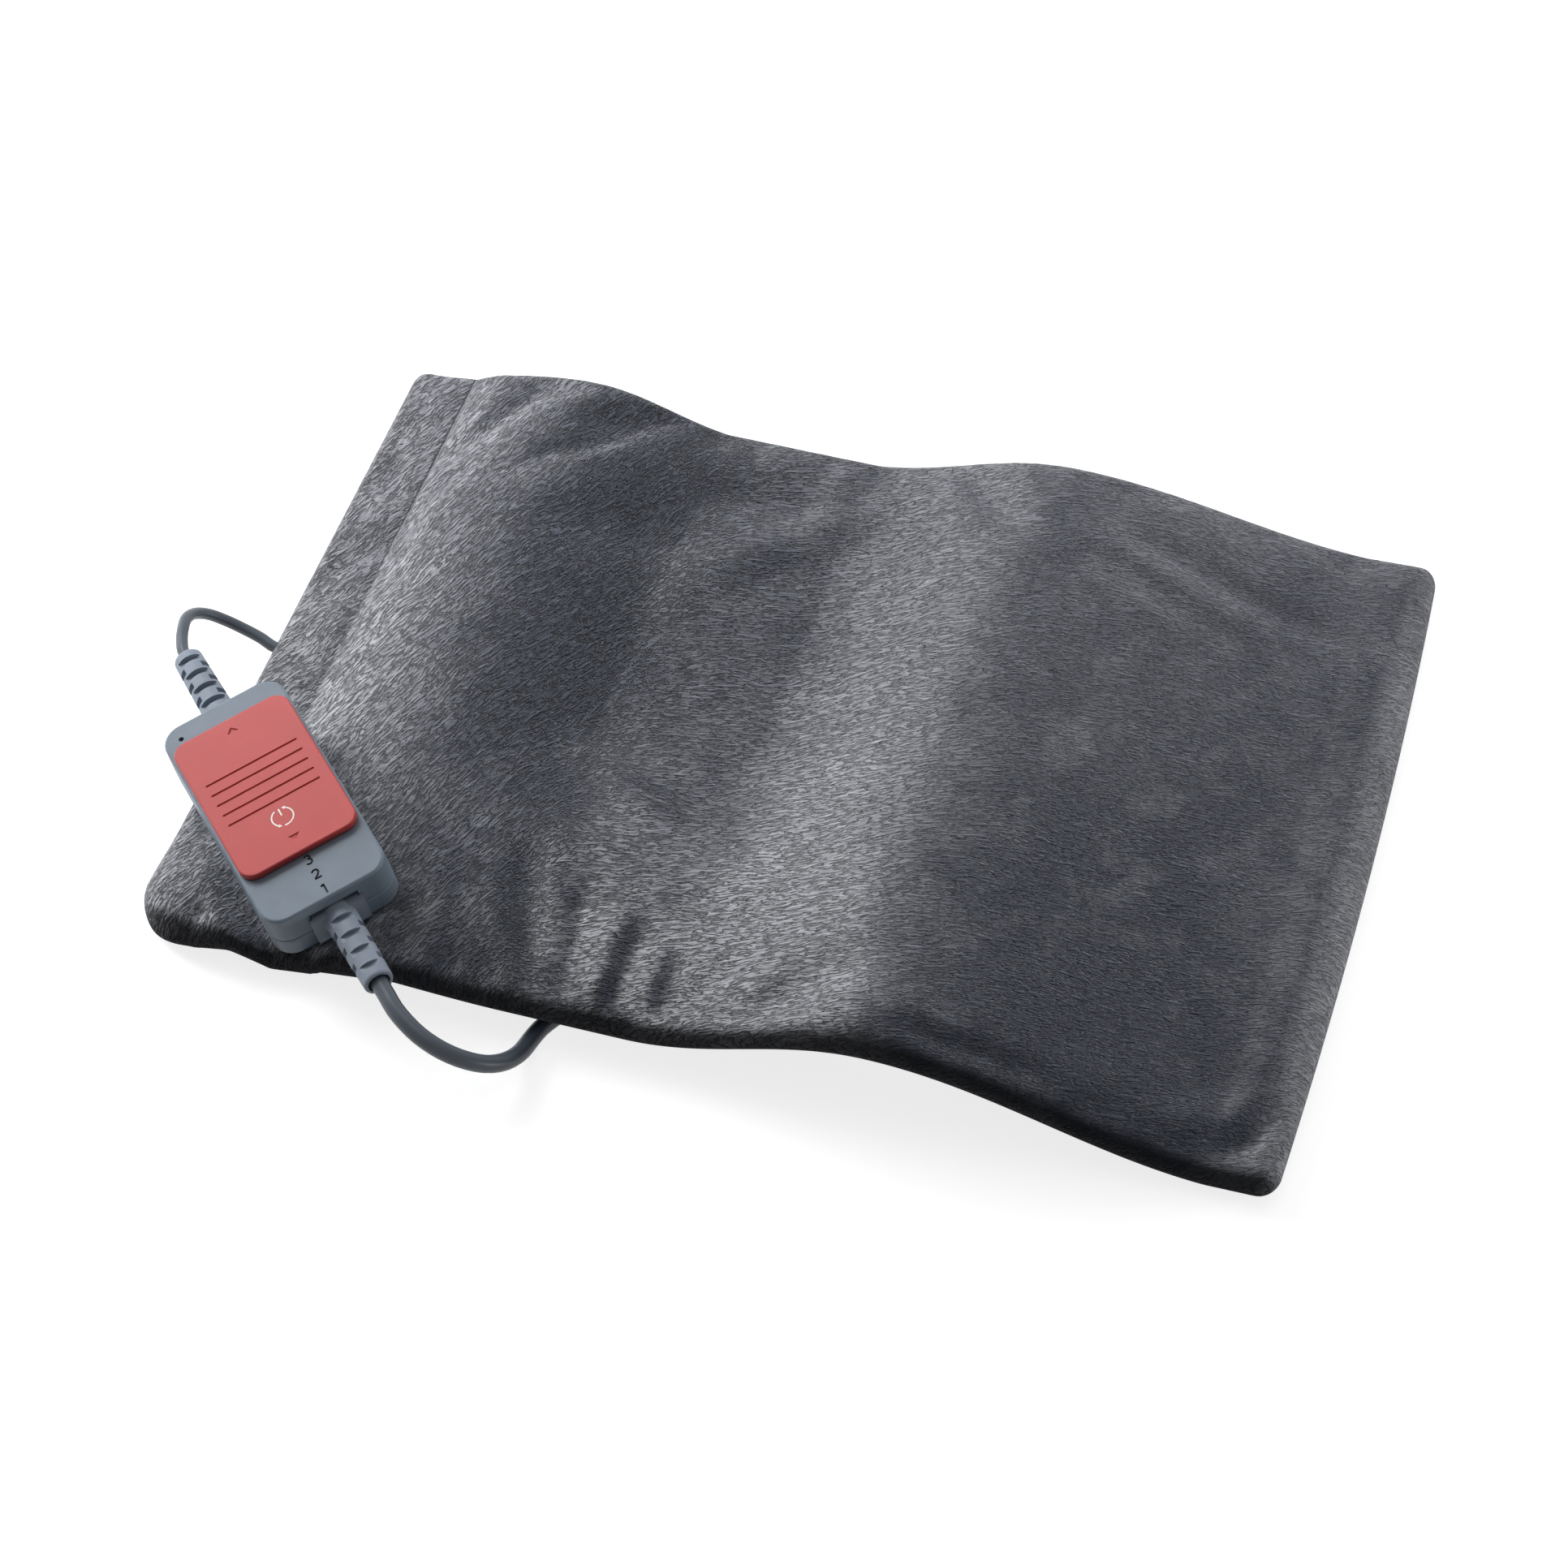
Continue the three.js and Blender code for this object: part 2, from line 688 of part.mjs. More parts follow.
const entryNotch = box(
  -halfLength,
  leadEntryY - entryWidth / 2 - 2 * clearance,
  -padHalf,
  entryLeft + entryLength + clearance,
  leadEntryY + entryWidth / 2 + 2 * clearance,
  mainFrontRise,
);
place("core_felt_upper", cut(feltSheet(1), entryNotch), "felt", part);
place("core_felt_lower", cut(feltSheet(-1), entryNotch), "felt", part);

const entryBlock = roundedBlock(entryLength, entryWidth, 2 * entryHalf, entryCorner, overrun, 2);
layInPad(
  place("lead_entry_block", entryBlock.translate(0, 0, -entryHalf), "relief", part),
  entryX,
  leadEntryY,
  entryLength / 2,
);

const cutoutLeft = entryLeft + entryLength + 2 * clearance;
[1, -1].forEach((side, k) => {
  const body = roundedBlock(cutoutLength, cutoutWidth, 2 * cutoutHalf, overrun, clearance, 1);
  layInPad(
    place(`overheat_cutout_${k + 1}`, body.translate(0, 0, -cutoutHalf), "insulator", part),
    cutoutLeft + cutoutLength / 2,
    leadEntryY + side * cutoutSpread,
    cutoutLength / 2,
  );
});

// Heating wire: straight runs across the pad, then back along the rear edge
function heatingWirePoints() {
  const points = [];
  const start = cutoutLeft + cutoutLength + clearance;
  const first = wireFirstRun - halfLength;
  const last = halfLength - wireRunInset;
  const pitch = (last - first) / (wireRuns - 1);
  const low = wireRunInset - halfWidth;
  const high = halfWidth - wireRunInset - wireReturnInset;
  const back = halfWidth - wireRunInset;
  const alongRows = (x, from, to) => {
    const between = coreRows.filter((y) => (y - from) * (y - to) < 0);
    if (from > to) between.reverse();
    [from, ...between, to].forEach((y) => points.push([x, y]));
  };
  const alongColumns = (y, from, to) => {
    const between = coreColumns.filter((x) => (x - from) * (x - to) < 0);
    if (from > to) between.reverse();
    [from, ...between, to].forEach((x) => points.push([x, y]));
  };
  const outY = leadEntryY - cutoutSpread;
  const backY = leadEntryY + cutoutSpread;
  points.push([start, outY], [start + wireTurnRadius / 2, outY]);
  for (let k = 0; k < wireRuns; k += 1) {
    const x = first + pitch * k;
    const down = k % 2 === 0;
    const top = k === 0 ? outY - wireTurnRadius : high - pitch / 2;
    const bottom = low + pitch / 2;
    alongRows(x, down ? top : bottom, down ? bottom : top);
    if (k === wireRuns - 1) break;
    const [turnY, side] = down ? [bottom, -1] : [high - pitch / 2, 1];
    for (let n = 1; n < wireTurnSteps; n += 1) {
      const angle = Math.PI * n / wireTurnSteps;
      points.push([x + pitch / 2 * (1 - Math.cos(angle)), turnY + side * pitch / 2 * Math.sin(angle)]);
    }
  }
  alongRows(last, high, back - wireTurnRadius);
  alongColumns(back, last - wireTurnRadius, first + wireTurnRadius);
  alongRows(first, back - wireTurnRadius, backY + 2 * wireTurnRadius);
  points.push([first - clearance, backY + wireTurnRadius / 2]);
  points.push([start + wireTurnRadius / 2, backY], [start, backY]);
  return points.map(([x, y]) => onMiddle(x, y));
}

const wirePoints = heatingWirePoints();
place("heating_wire", strand(wirePoints, heatingWireDiameter, wireSides), "wire", part);

// Coil of the mains cord: in towards its middle below, then out again on top, as one tube
const coilX = mainCrest + coilShiftX;
const coilY = coilInsetY - halfWidth;

function coilPoint(turns) {
  const total = 2 * coilTurnsPerLayer + coilClimbTurns;
  const climbed = smooth((turns - coilTurnsPerLayer) / coilClimbTurns);
  const inward = Math.min(turns, total - turns);
  const radius = coilStartRadius - coilPitch * inward;
  const angle = THREE.MathUtils.degToRad(coilStartAngle) - 2 * Math.PI * turns;
  return new THREE.Vector3(
    coilX + radius * Math.cos(angle),
    coilY + radius * Math.sin(angle),
    cordRadius + coilPitch * climbed,
  );
}

function coilCentreLine() {
  const total = 2 * coilTurnsPerLayer + coilClimbTurns;
  const steps = Math.round(total * coilStepsPerTurn);
  const points = Array.from({ length: steps + 1 }, (_, k) => coilPoint(total * k / steps));
  const ahead = (from, to) => to.clone().sub(from).setZ(0).setLength(cordDiameter).add(to);
  points.unshift(ahead(points[1], points[0]));
  points.push(ahead(points.at(-2), points.at(-1)));
  return points;
}

// Least distance between the surfaces of loops that lie a good part of a turn apart
function leastGap(points) {
  let least = Infinity;
  for (let i = 0; i < points.length; i += 1) {
    for (let j = i + Math.round(coilStepsPerTurn / 3); j < points.length; j += 1) {
      least = Math.min(least, points[i].distanceTo(points[j]) - cordDiameter);
    }
  }
  return least;
}

const coilLine = coilCentreLine();
const coilSelfGap = leastGap(coilLine);
console.log(`least gap of the cord's coil to itself: ${coilSelfGap.toFixed(2)} mm`);
place("mains_cord_coil", strand(coilLine, cordDiameter, coilSides), "cord", part);

// Free part of the mains cord, from the strain relief over the pad's front edge and under it
const cordExit = fromController(0, -halfHousing - reliefLength - clearance, cordAxisHeight);
const cordExitAhead = fromController(0, -halfHousing - reliefLength - cordDiameter, cordAxisHeight);
const cordRoute = [
  [-106.7, -195.4, 31.1],
  [-100.9, -199.6, 30.2],
  [-94.4, -202.7, 28.2],
  [-87.9, -204.1, 25.6],
  [-81.8, -204.0, 22.6],
  [-75.9, -202.3, 19.0],
  [-70.7, -199.1, 15.0],
  [-66.4, -194.4, 11.3],
  [-63.4, -188.8, 8.3],
  [-61.6, -182.4, 5.8],
  [-60.6, -175.4, 4.3],
  [-58.9, -168.6, 3.9],
  [-55.8, -162.2, 3.6],
  [-51.8, -156.0, 3.6],
  [-41.7, -145.3, 3.6],
  [-29.9, -136.0, 3.6],
  [-17.6, -127.4, 3.6],
  [-5.4, -118.7, 3.6],
  [4.6, -110.6, 3.6],
  [13.2, -101.2, 3.6],
];

function beyond(end, inner, distance) {
  return end.clone().add(end.clone().sub(inner).setLength(distance));
}

const coilIn = [cordDiameter, clearance].map((gap) => beyond(coilLine[0], coilLine[1], gap));
const cordPlaces = cordRoute.map((point) => new THREE.Vector3(...point));
const cordPath = [cordExit, cordExitAhead, ...cordPlaces, ...coilIn];
place("mains_cord", tube(cordPath, cordDiameter, cordSides, cordSteps), "cord", part);
place("pad_lead", tube(leadPath, leadDiameter, cordSides, leadSteps), "cord", part);

// Plug beside the coil, under the rear half of the main ridge
const plugX = mainCrest + plugPlaceX;
const plugY = coilY + coilOuterRadius + plugGapToCoil;
const coilOut = [clearance, cordDiameter].map((gap) => beyond(coilLine.at(-1), coilLine.at(-2), gap));
const tailEnd = new THREE.Vector3(plugX, plugY - clearance, plugHeight / 2);
const tailRoute = [
  [56.4, -36.6, 10.3],
  [64.8, -25.6, 8.8],
  [70.2, -14.6, 7.6],
];
const tailPath = [
  ...coilOut,
  ...tailRoute.map((point) => new THREE.Vector3(...point)),
  tailEnd.clone().setY(tailEnd.y - cordDiameter),
  tailEnd,
];
place("mains_cord_tail", tube(tailPath, cordDiameter, cordSides, tailSteps), "cord", part);

function plugBody() {
  const outline = new THREE.Shape();
  const bevel = plugEdge;
  const wide = plugWidth / 2 - bevel;
  const narrow = plugBackWidth / 2 - bevel;
  const back = plugSleeveLength + bevel;
  const front = plugSleeveLength + plugLength - bevel;
  outline.moveTo(narrow, back);
  const waist = back + plugShoulder / 2;
  outline.bezierCurveTo(narrow + bevel, waist, wide, waist, wide, back + plugShoulder);
  outline.lineTo(wide, front);
  outline.lineTo(-wide, front);
  outline.lineTo(-wide, back + plugShoulder);
  outline.bezierCurveTo(-wide, waist, -narrow - bevel, waist, -narrow, back);
  const options = {
    depth: plugHeight - 2 * bevel,
    bevelThickness: bevel,
    bevelSize: bevel,
    bevelSegments: 3,
    curveSegments: 5,
  };
  const shell = new THREE.ExtrudeGeometry(outline, options).translate(0, 0, bevel - plugHeight / 2);
  const ring = plugSleeveLength / 7;
  const profile = [new THREE.Vector2(0, 0), new THREE.Vector2(plugSleeveRadius, 0)];
  for (let k = 1; k <= 3; k += 1) {
    const radius = THREE.MathUtils.lerp(plugSleeveRadius, plugSleeveBaseRadius, k / 3);
    const groove = radius - overrun;
    profile.push(
      new THREE.Vector2(radius, ring * (2 * k - 1)),
      new THREE.Vector2(groove, ring * (2 * k - 1)),
      new THREE.Vector2(groove, ring * 2 * k),
      new THREE.Vector2(radius, ring * 2 * k),
    );
  }
  profile.push(
    new THREE.Vector2(plugSleeveBaseRadius, plugSleeveLength + bevel + overrun),
    new THREE.Vector2(0, plugSleeveLength + bevel + overrun),
  );
  const holes = [-1, 1].map((side) => {
    const hole = bar(pinDiameter / 2 + clearance, -pinDepth - clearance, overrun);
    return hole.rotateX(-Math.PI / 2).translate(side * pinSpacing / 2, plugSleeveLength + plugLength, 0);
  });
  return cut(join(shell, new THREE.LatheGeometry(profile, 18)), ...holes);
}

function plugPin() {
  const radius = pinDiameter / 2;
  const profile = [
    new THREE.Vector2(0, -pinDepth),
    new THREE.Vector2(radius, -pinDepth),
    new THREE.Vector2(radius, pinLength - pinTip),
    new THREE.Vector2(radius / 2, pinLength),
    new THREE.Vector2(0, pinLength),
  ];
  return new THREE.LatheGeometry(profile, 12);
}

const plug = new THREE.Group();
plug.position.set(plugX, plugY, plugHeight / 2);
place("plug_body", plugBody(), "darkPlastic", plug);
["left", "right"].forEach((name, k) => {
  const pin = place(`plug_pin_${name}`, plugPin(), "steel", plug);
  pin.position.set((k - 0.5) * pinSpacing, plugSleeveLength + plugLength, 0);
});
part.add(plug);

// Controller housing: two shells that meet at the parting line
function outerBody() {
  return roundedBlock(housingWidth, housingLength, housingHeight, housingCorner, housingEdge);
}

function cavity() {
  return plainBlock(
    housingWidth - 2 * housingWall,
    housingLength - 2 * housingWall,
    housingCorner - housingWall,
    housingFloor,
    housingHeight - housingRoof,
  );
}

function slab(lowZ, highZ) {
  return box(-housingWidth, -housingLength, lowZ, housingWidth, housingLength, highZ);
}

const roofUnderside = housingHeight - housingRoof;
const slotLow = slotEnd - carriageLength - sliderTravel - 2 * clearance;
const fourCorners = [[1, 1], [-1, 1], [-1, -1], [1, -1]];
const screwPlaces = fourCorners.map(([x, y]) => [x * housingScrewX, y * housingScrewY]);
const endWindows = [-1, 1].map((end) => box(
  -windowWidth / 2 - clearance,
  end * (halfHousing - housingWall / 2) - 2 * housingWall,
  cordAxisHeight - windowHeight / 2 - clearance,
  windowWidth / 2 + clearance,
  end * (halfHousing - housingWall / 2) + 2 * housingWall,
  cordAxisHeight + windowHeight / 2 + windowHeadroom,
));

const carriageTop = roofUnderside - clearance;
const carriageLow = carriageTop - carriageThickness;
const railX = carriageWidth / 2 + clearance + detentReach + clearance;
const railLow = carriageTop - detentHeight - clearance;

function detentRail() {
  const railHigh = roofUnderside + housingRoof / 2;
  const rail = box(railX, slotLow, railLow, railX + detentRailWidth, slotEnd, railHigh);
  const notches = [0, 1, 2, 3].map((setting) => {
    const y = slotEnd - carriageLength / 2 - setting * sliderTravel / 3;
    return bar(detentNotch, railLow - overrun, roofUnderside, 8).translate(railX, y, 0);
  });
  return cut(rail, ...notches);
}

function upperHousing() {
  const above = slab(partingHeight + clearance / 2, housingHeight + overrun);
  const shell = cut(common(outerBody(), above), cavity());
  const bosses = screwPlaces.map(([x, y]) => (
    bar(bossRadius, partingHeight + clearance / 2, roofUnderside + housingRoof / 2).translate(x, y, 0)
  ));
  const pilotTop = Math.min(partingHeight + housingScrewLength, roofUnderside);
  const pilots = screwPlaces.map(([x, y]) => (
    bar(housingScrewRadius + clearance, partingHeight - overrun, pilotTop, 10).translate(x, y, 0)
  ));
  const slot = box(
    -slotWidth / 2,
    slotLow,
    roofUnderside - overrun,
    slotWidth / 2,
    slotEnd + clearance,
    housingHeight + overrun,
  );
  const lampHole = bar(lampHoleDiameter / 2, roofUnderside - overrun, housingHeight + overrun, 12);
  lampHole.translate(lampX, lampY, 0);
  return cut(join(shell, ...bosses, detentRail()), ...pilots, slot, lampHole, ...endWindows);
}

// A cord's saddle in the lower shell, with a pillar for a clamp screw on either side
function saddle(end, diameter) {
  const y = end * clampPlace;
  const pillarTop = cordAxisHeight + diameter / 2;
  const channel = diameter / 2 + clearance;
  const block = box(
    -clampWidth / 2,
    y - clampLength / 2,
    housingFloor / 2,
    clampWidth / 2,
    y + clampLength / 2,
    pillarTop,
  );
  const groove = box(
    -channel,
    y - clampLength,
    cordAxisHeight - channel,
    channel,
    y + clampLength,
    pillarTop + overrun,
  );
  const holes = [-1, 1].map((side) => (
    bar(clampScrewRadius + clearance, housingFloor + overrun, pillarTop + overrun, 10)
      .translate(side * clampScrewSpread / 2, y, 0)
  ));
  return cut(block, groove, ...holes);
}

const boardPosts = fourCorners.map(([x, y]) => [
  x * (boardWidth / 2 - boardPostInset),
  y * (boardLength / 2 - boardPostInset),
]);

function lowerHousing() {
  const shell = cut(common(outerBody(), slab(-overrun, partingHeight - clearance / 2)), cavity());
  const bosses = screwPlaces.map(([x, y]) => (
    bar(bossRadius, housingFloor / 2, partingHeight - clearance / 2).translate(x, y, 0)
  ));
  const posts = [...boardPosts, [lampX - lampPadHalf / 2, lampY]].map(([x, y]) => (
    bar(boardPostRadius, housingFloor / 2, boardHeight - clearance, 10).translate(x, y, 0)
  ));
  const holes = screwPlaces.map(([x, y]) => (
    bar(housingScrewRadius + clearance, -overrun, partingHeight + overrun, 10).translate(x, y, 0)
  ));
  const sinks = screwPlaces.map(([x, y]) => (
    bar(housingHeadRadius + clearance, -overrun, housingHeadHeight + clearance).translate(x, y, 0)
  ));
  const solid = join(shell, ...bosses, ...posts, saddle(-1, cordDiameter), saddle(1, leadDiameter));
  return cut(solid, ...holes, ...sinks, ...endWindows);
}

place("upper_housing", upperHousing(), "housing");
place("lower_housing", lowerHousing(), "housing");

// Slider plate with its grip grooves, and the carriage that holds it from inside
function sliderPlate() {
  const plate = roundedBlock(sliderWidth, sliderLength, sliderHeight, sliderCorner, sliderEdge);
  plate.translate(0, sliderTop - sliderLength / 2, 0);
  const grooves = Array.from({ length: gripCount }, (_, k) => {
    const y = gripFirst - gripPitch * k;
    const bottom = sliderHeight - gripDepth;
    const top = sliderHeight + overrun;
    return box(-gripLength / 2, y - gripWidth / 2, bottom, gripLength / 2, y + gripWidth / 2, top);
  });
  return cut(plate, ...grooves);
}

place("slider_plate", sliderPlate(), "slider").position.z = housingHeight + clearance;

const carriageHigh = slotEnd;
const carriageY = carriageHigh - carriageLength / 2;

function carriage() {
  const neckHalf = slotWidth / 2 - clearance;
  const neck = box(-neckHalf, -carriageLength / 2, carriageLow, neckHalf, carriageLength / 2, housingHeight);
  const flange = box(
    -carriageWidth / 2,
    -carriageLength / 2,
    carriageLow,
    carriageWidth / 2,
    carriageLength / 2,
    carriageTop,
  );
  return join(neck, flange);
}

place("slider_carriage", carriage(), "darkPlastic").position.y = carriageY;

// Contact bridge: a bent blade whose two knees slide on the strips below
const bridgeTop = carriageLow - clearance;
const stripHigh = bridgeTop - bridgeDrop - clearance;

function contactBridge() {
  const half = bridgeLength / 2;
  const line = [
    [-half, 0],
    [-half / 2, -bridgeDrop + bladeThickness],
    [0, 0],
    [half / 2, -bridgeDrop + bladeThickness],
    [half, 0],
  ];
  const outline = new THREE.Shape();
  line.forEach(([y, z], k) => (k === 0 ? outline.moveTo(y, z) : outline.lineTo(y, z)));
  [...line].reverse().forEach(([y, z]) => outline.lineTo(y, z - bladeThickness));
  outline.closePath();
  const blade = new THREE.ExtrudeGeometry(outline, { depth: bridgeWidth, bevelEnabled: false });
  return blade.translate(0, 0, -bridgeWidth / 2).rotateX(Math.PI / 2).rotateZ(Math.PI / 2);
}

const bridge = place("contact_bridge", contactBridge(), "copper");
bridge.position.set(0, carriageY, bridgeTop);

// Detent spring: a bowed leaf at the carriage's side, its crown at the rail's notches
function detentSpring() {
  const outline = new THREE.Shape();
  const steps = 8;
  const crown = (t) => (detentReach - bladeThickness) * Math.sin(Math.PI * t);
  for (let k = 0; k <= steps; k += 1) {
    const t = k / steps;
    const y = (t - 0.5) * detentLength;
    if (k === 0) outline.moveTo(crown(t), y);
    else outline.lineTo(crown(t), y);
  }
  for (let k = steps; k >= 0; k -= 1) {
    const t = k / steps;
    outline.lineTo(crown(t) + bladeThickness, (t - 0.5) * detentLength);
  }
  outline.closePath();
  return new THREE.ExtrudeGeometry(outline, { depth: detentHeight, bevelEnabled: false });
}

const spring = place("detent_spring", detentSpring(), "steel");
spring.position.set(carriageWidth / 2 + clearance, carriageY, carriageTop - detentHeight);

// Circuit board with an arm that carries the pilot lamp
const boardTop = boardHeight + boardThickness;
const partBase = boardTop + clearance;

function circuitBoard() {
  const wide = boardWidth / 2;
  const neck = boardNeckWidth / 2;
  const shoulder = boardLength / 2;
  const outline = new THREE.Shape();
  const corners = [
    [wide, -shoulder],
    [wide, shoulder],
    [neck, shoulder],
    [neck, boardNeckReach],
    [-lampArmX, boardNeckReach],
    [-lampArmX, lampY + lampPadHalf],
    [lampX - lampPadHalf, lampY + lampPadHalf],
    [lampX - lampPadHalf, lampY - lampPadHalf],
    [-lampArmX - lampArmWidth, lampY - lampPadHalf],
    [-lampArmX - lampArmWidth, shoulder],
    [-wide, shoulder],
    [-wide, -shoulder],
    [-neck, -shoulder],
    [-neck, -boardNeckReach],
    [neck, -boardNeckReach],
    [neck, -shoulder],
  ];
  corners.forEach(([x, y], k) => (k === 0 ? outline.moveTo(x, y) : outline.lineTo(x, y)));
  outline.closePath();
  return new THREE.ExtrudeGeometry(outline, { depth: boardThickness, bevelEnabled: false });
}

place("circuit_board", circuitBoard(), "board").position.z = boardHeight;

const switchLow = slotLow - clearance;
const switchHigh = slotEnd + clearance;
place("slide_switch_base", box(
  -switchBaseWidth / 2,
  switchLow,
  partBase,
  switchBaseWidth / 2,
  switchHigh,
  stripHigh - bladeThickness - clearance,
), "insulator");
for (let k = 0; k < stripCount; k += 1) {
  const x = (k - (stripCount - 1) / 2) * stripPitch;
  const strip = box(
    x - stripWidth / 2,
    switchLow + overrun,
    stripHigh - bladeThickness,
    x + stripWidth / 2,
    switchHigh - overrun,
    stripHigh,
  );
  place(`contact_strip_${k + 1}`, strip, "copper");
}

// Pilot lamp on two legs, its dome just under the hole in the roof
function pilotLamp() {
  const radius = lampDiameter / 2;
  const high = roofUnderside - clearance;
  const low = high - lampHeight;
  const profile = [
    new THREE.Vector2(0, low),
    new THREE.Vector2(radius, low),
    new THREE.Vector2(radius, high - radius),
  ];
  for (let k = 1; k <= 3; k += 1) {
    const angle = Math.PI / 2 * k / 3;
    const reach = Math.max(radius * Math.cos(angle), 0);
    profile.push(new THREE.Vector2(reach, high - radius + radius * Math.sin(angle)));
  }
  profile[profile.length - 1].x = 0;
  const dome = new THREE.LatheGeometry(profile, 12).rotateX(Math.PI / 2);
  const legs = [-1, 1].map((side) => (
    bar(lampLegRadius, partBase, low + overrun, 6).translate(side * lampLegPitch / 2, 0, 0)
  ));
  return join(dome, ...legs);
}

place("pilot_lamp", pilotLamp(), "lamp").position.set(lampX, lampY, 0);

const capacitor = roundedBlock(capacitorWidth, capacitorLength, capacitorHeight, overrun, clearance, 2);
place("capacitor", capacitor, "insulator").position.set(sidePartX, -boardLength / 4, partBase);

function triacBody() {
  const body = box(-triacWidth / 2, -triacLength / 2, 0, triacWidth / 2, triacLength / 2, triacHeight);
  const tab = box(
    -triacWidth / 2,
    -triacLength / 2,
    0,
    triacTab - triacWidth / 2,
    triacLength / 2,
    triacHeight + 2 * triacTab,
  );
  return join(body, tab);
}

place("triac", triacBody(), "darkPlastic").position.set(-sidePartX, -boardLength / 4, partBase);
place("timer_chip", roundedBlock(chipWidth, chipLength, chipHeight, overrun, clearance, 1), "darkPlastic")
  .position.set(-sidePartX, boardLength / 8, partBase);

const fuse = bar(fuseDiameter / 2, -fuseLength / 2, fuseLength / 2, 12).rotateX(Math.PI / 2);
place("fuse", fuse, "steel").position.set(sidePartX, boardLength / 6, partBase + fuseDiameter / 2);

// Terminals at either end of the board
function terminal(end) {
  const nearEnd = cordEndPlace - clearance;
  const low = end > 0 ? nearEnd - terminalDepth : -nearEnd;
  const high = partBase + terminalHeight;
  const block = box(-terminalWidth / 2, low, partBase, terminalWidth / 2, low + terminalDepth, high);
  const wells = [-1, 1].map((side) => (
    bar(terminalScrewRadius, high - terminalHeight / 2, high + overrun, 10)
      .translate(side * terminalWidth / 4, low + terminalDepth / 2, 0)
  ));
  return cut(block, ...wells);
}

place("mains_terminal", terminal(-1), "insulator");
place("pad_terminal", terminal(1), "insulator");

// Strain relief along +Y from the end wall: flanges on both sides of the wall, slotted sleeve
function strainRelief(diameter, flangeDepth) {
  const base = reliefBaseDiameter / 2;
  const tip = reliefTipDiameter / 2;
  const profile = [
    new THREE.Vector2(0, clearance),
    new THREE.Vector2(base, clearance),
    new THREE.Vector2(tip, reliefLength - reliefTipRound),
    new THREE.Vector2(tip - reliefTipRound / 2, reliefLength),
    new THREE.Vector2(0, reliefLength),
  ];
  const sleeve = new THREE.LatheGeometry(profile, 24);
  const outer = box(
    -flangeWidth / 2,
    clearance,
    -flangeDrop - flangeHeight / 2,
    flangeWidth / 2,
    flangeDepth,
    -flangeDrop + flangeHeight / 2,
  );
  const throat = box(
    -windowWidth / 2,
    -housingWall - clearance - overrun,
    -windowHeight / 2,
    windowWidth / 2,
    clearance + overrun,
    windowHeight / 2,
  );
  const innerHigh = -housingWall - clearance;
  const inner = box(
    -flangeWidth / 2,
    innerHigh - innerFlangeDepth,
    -windowHeight / 2 - overrun,
    flangeWidth / 2,
    innerHigh,
    windowHeight / 2 + windowHeadroom + overrun,
  );
  const keep = diameter / 2 + clearance + reliefWall;
  const slots = [];
  for (let k = 0; k < 2 * reliefSlotCount - 1; k += 1) {
    const y = reliefSlotStart + reliefSlotPitch * k / 2;
    for (const side of [-1, 1]) {
      const near = side * keep;
      const far = side * reliefBaseDiameter;
      const slot = box(
        -reliefBaseDiameter,
        y - reliefSlotLength / 2,
        Math.min(near, far),
        reliefBaseDiameter,
        y + reliefSlotLength / 2,
        Math.max(near, far),
      );
      slots.push(k % 2 === 0 ? slot : slot.rotateY(Math.PI / 2));
    }
  }
  const bore = bar(diameter / 2 + clearance, -reliefLength - overrun, 2 * reliefSlotPitch, 16);
  bore.rotateX(Math.PI / 2);
  return cut(join(sleeve, outer, throat, inner), bore, ...slots);
}

const leadRelief = place("pad_strain_relief", strainRelief(leadDiameter, leadFlangeDepth), "relief");
leadRelief.position.set(0, halfHousing, cordAxisHeight);
const mainsRelief = place("mains_strain_relief", strainRelief(cordDiameter, mainsFlangeDepth), "relief");
mainsRelief.position.set(0, -halfHousing, cordAxisHeight);
mainsRelief.rotation.z = Math.PI;

// Cord ends held inside the housing, and their clamps
function heldCord(name, end, diameter) {
  const stub = bar(diameter / 2, cordEndPlace, halfHousing + reliefLength, 12);
  const mesh = place(name, stub, "cord");
  mesh.rotation.x = -end * Math.PI / 2;
  mesh.position.z = cordAxisHeight;
}

heldCord("mains_cord_held_end", -1, cordDiameter);
heldCord("pad_lead_held_end", 1, leadDiameter);

function clampBar() {
  const block = roundedBlock(clampWidth, clampLength, clampThickness, overrun, clearance, 1);
  const holes = [-1, 1].map((side) => (
    bar(clampScrewRadius + clearance, -overrun, clampThickness + overrun, 10)
      .translate(side * clampScrewSpread / 2, 0, 0)
  ));
  return cut(block, ...holes);
}

// A screw along Z with its head at the origin and its shank below
function screw(radius, headRadius, headHeight, length, segments) {
  const profile = [
    new THREE.Vector2(0, -length),
    new THREE.Vector2(radius, -length + radius),
    new THREE.Vector2(radius, 0),
    new THREE.Vector2(headRadius, 0),
    new THREE.Vector2(headRadius, headHeight),
    new THREE.Vector2(0, headHeight),
  ];
  return new THREE.LatheGeometry(profile, segments).rotateX(Math.PI / 2);
}

const clamps = [["mains_cord_clamp", -1, cordDiameter], ["pad_lead_clamp", 1, leadDiameter]];
clamps.forEach(([name, end, diameter], k) => {
  const barLow = cordAxisHeight + diameter / 2 + clearance;
  place(name, clampBar(), "darkPlastic").position.set(0, end * clampPlace, barLow);
  [-1, 1].forEach((side, n) => {
    const piece = screw(clampScrewRadius, clampHeadRadius, clampHeadHeight, clampScrewLength, 8);
    place(`clamp_screw_${2 * k + n + 1}`, piece, "steel")
      .position.set(side * clampScrewSpread / 2, end * clampPlace, barLow + clampThickness + clearance);
  });
});

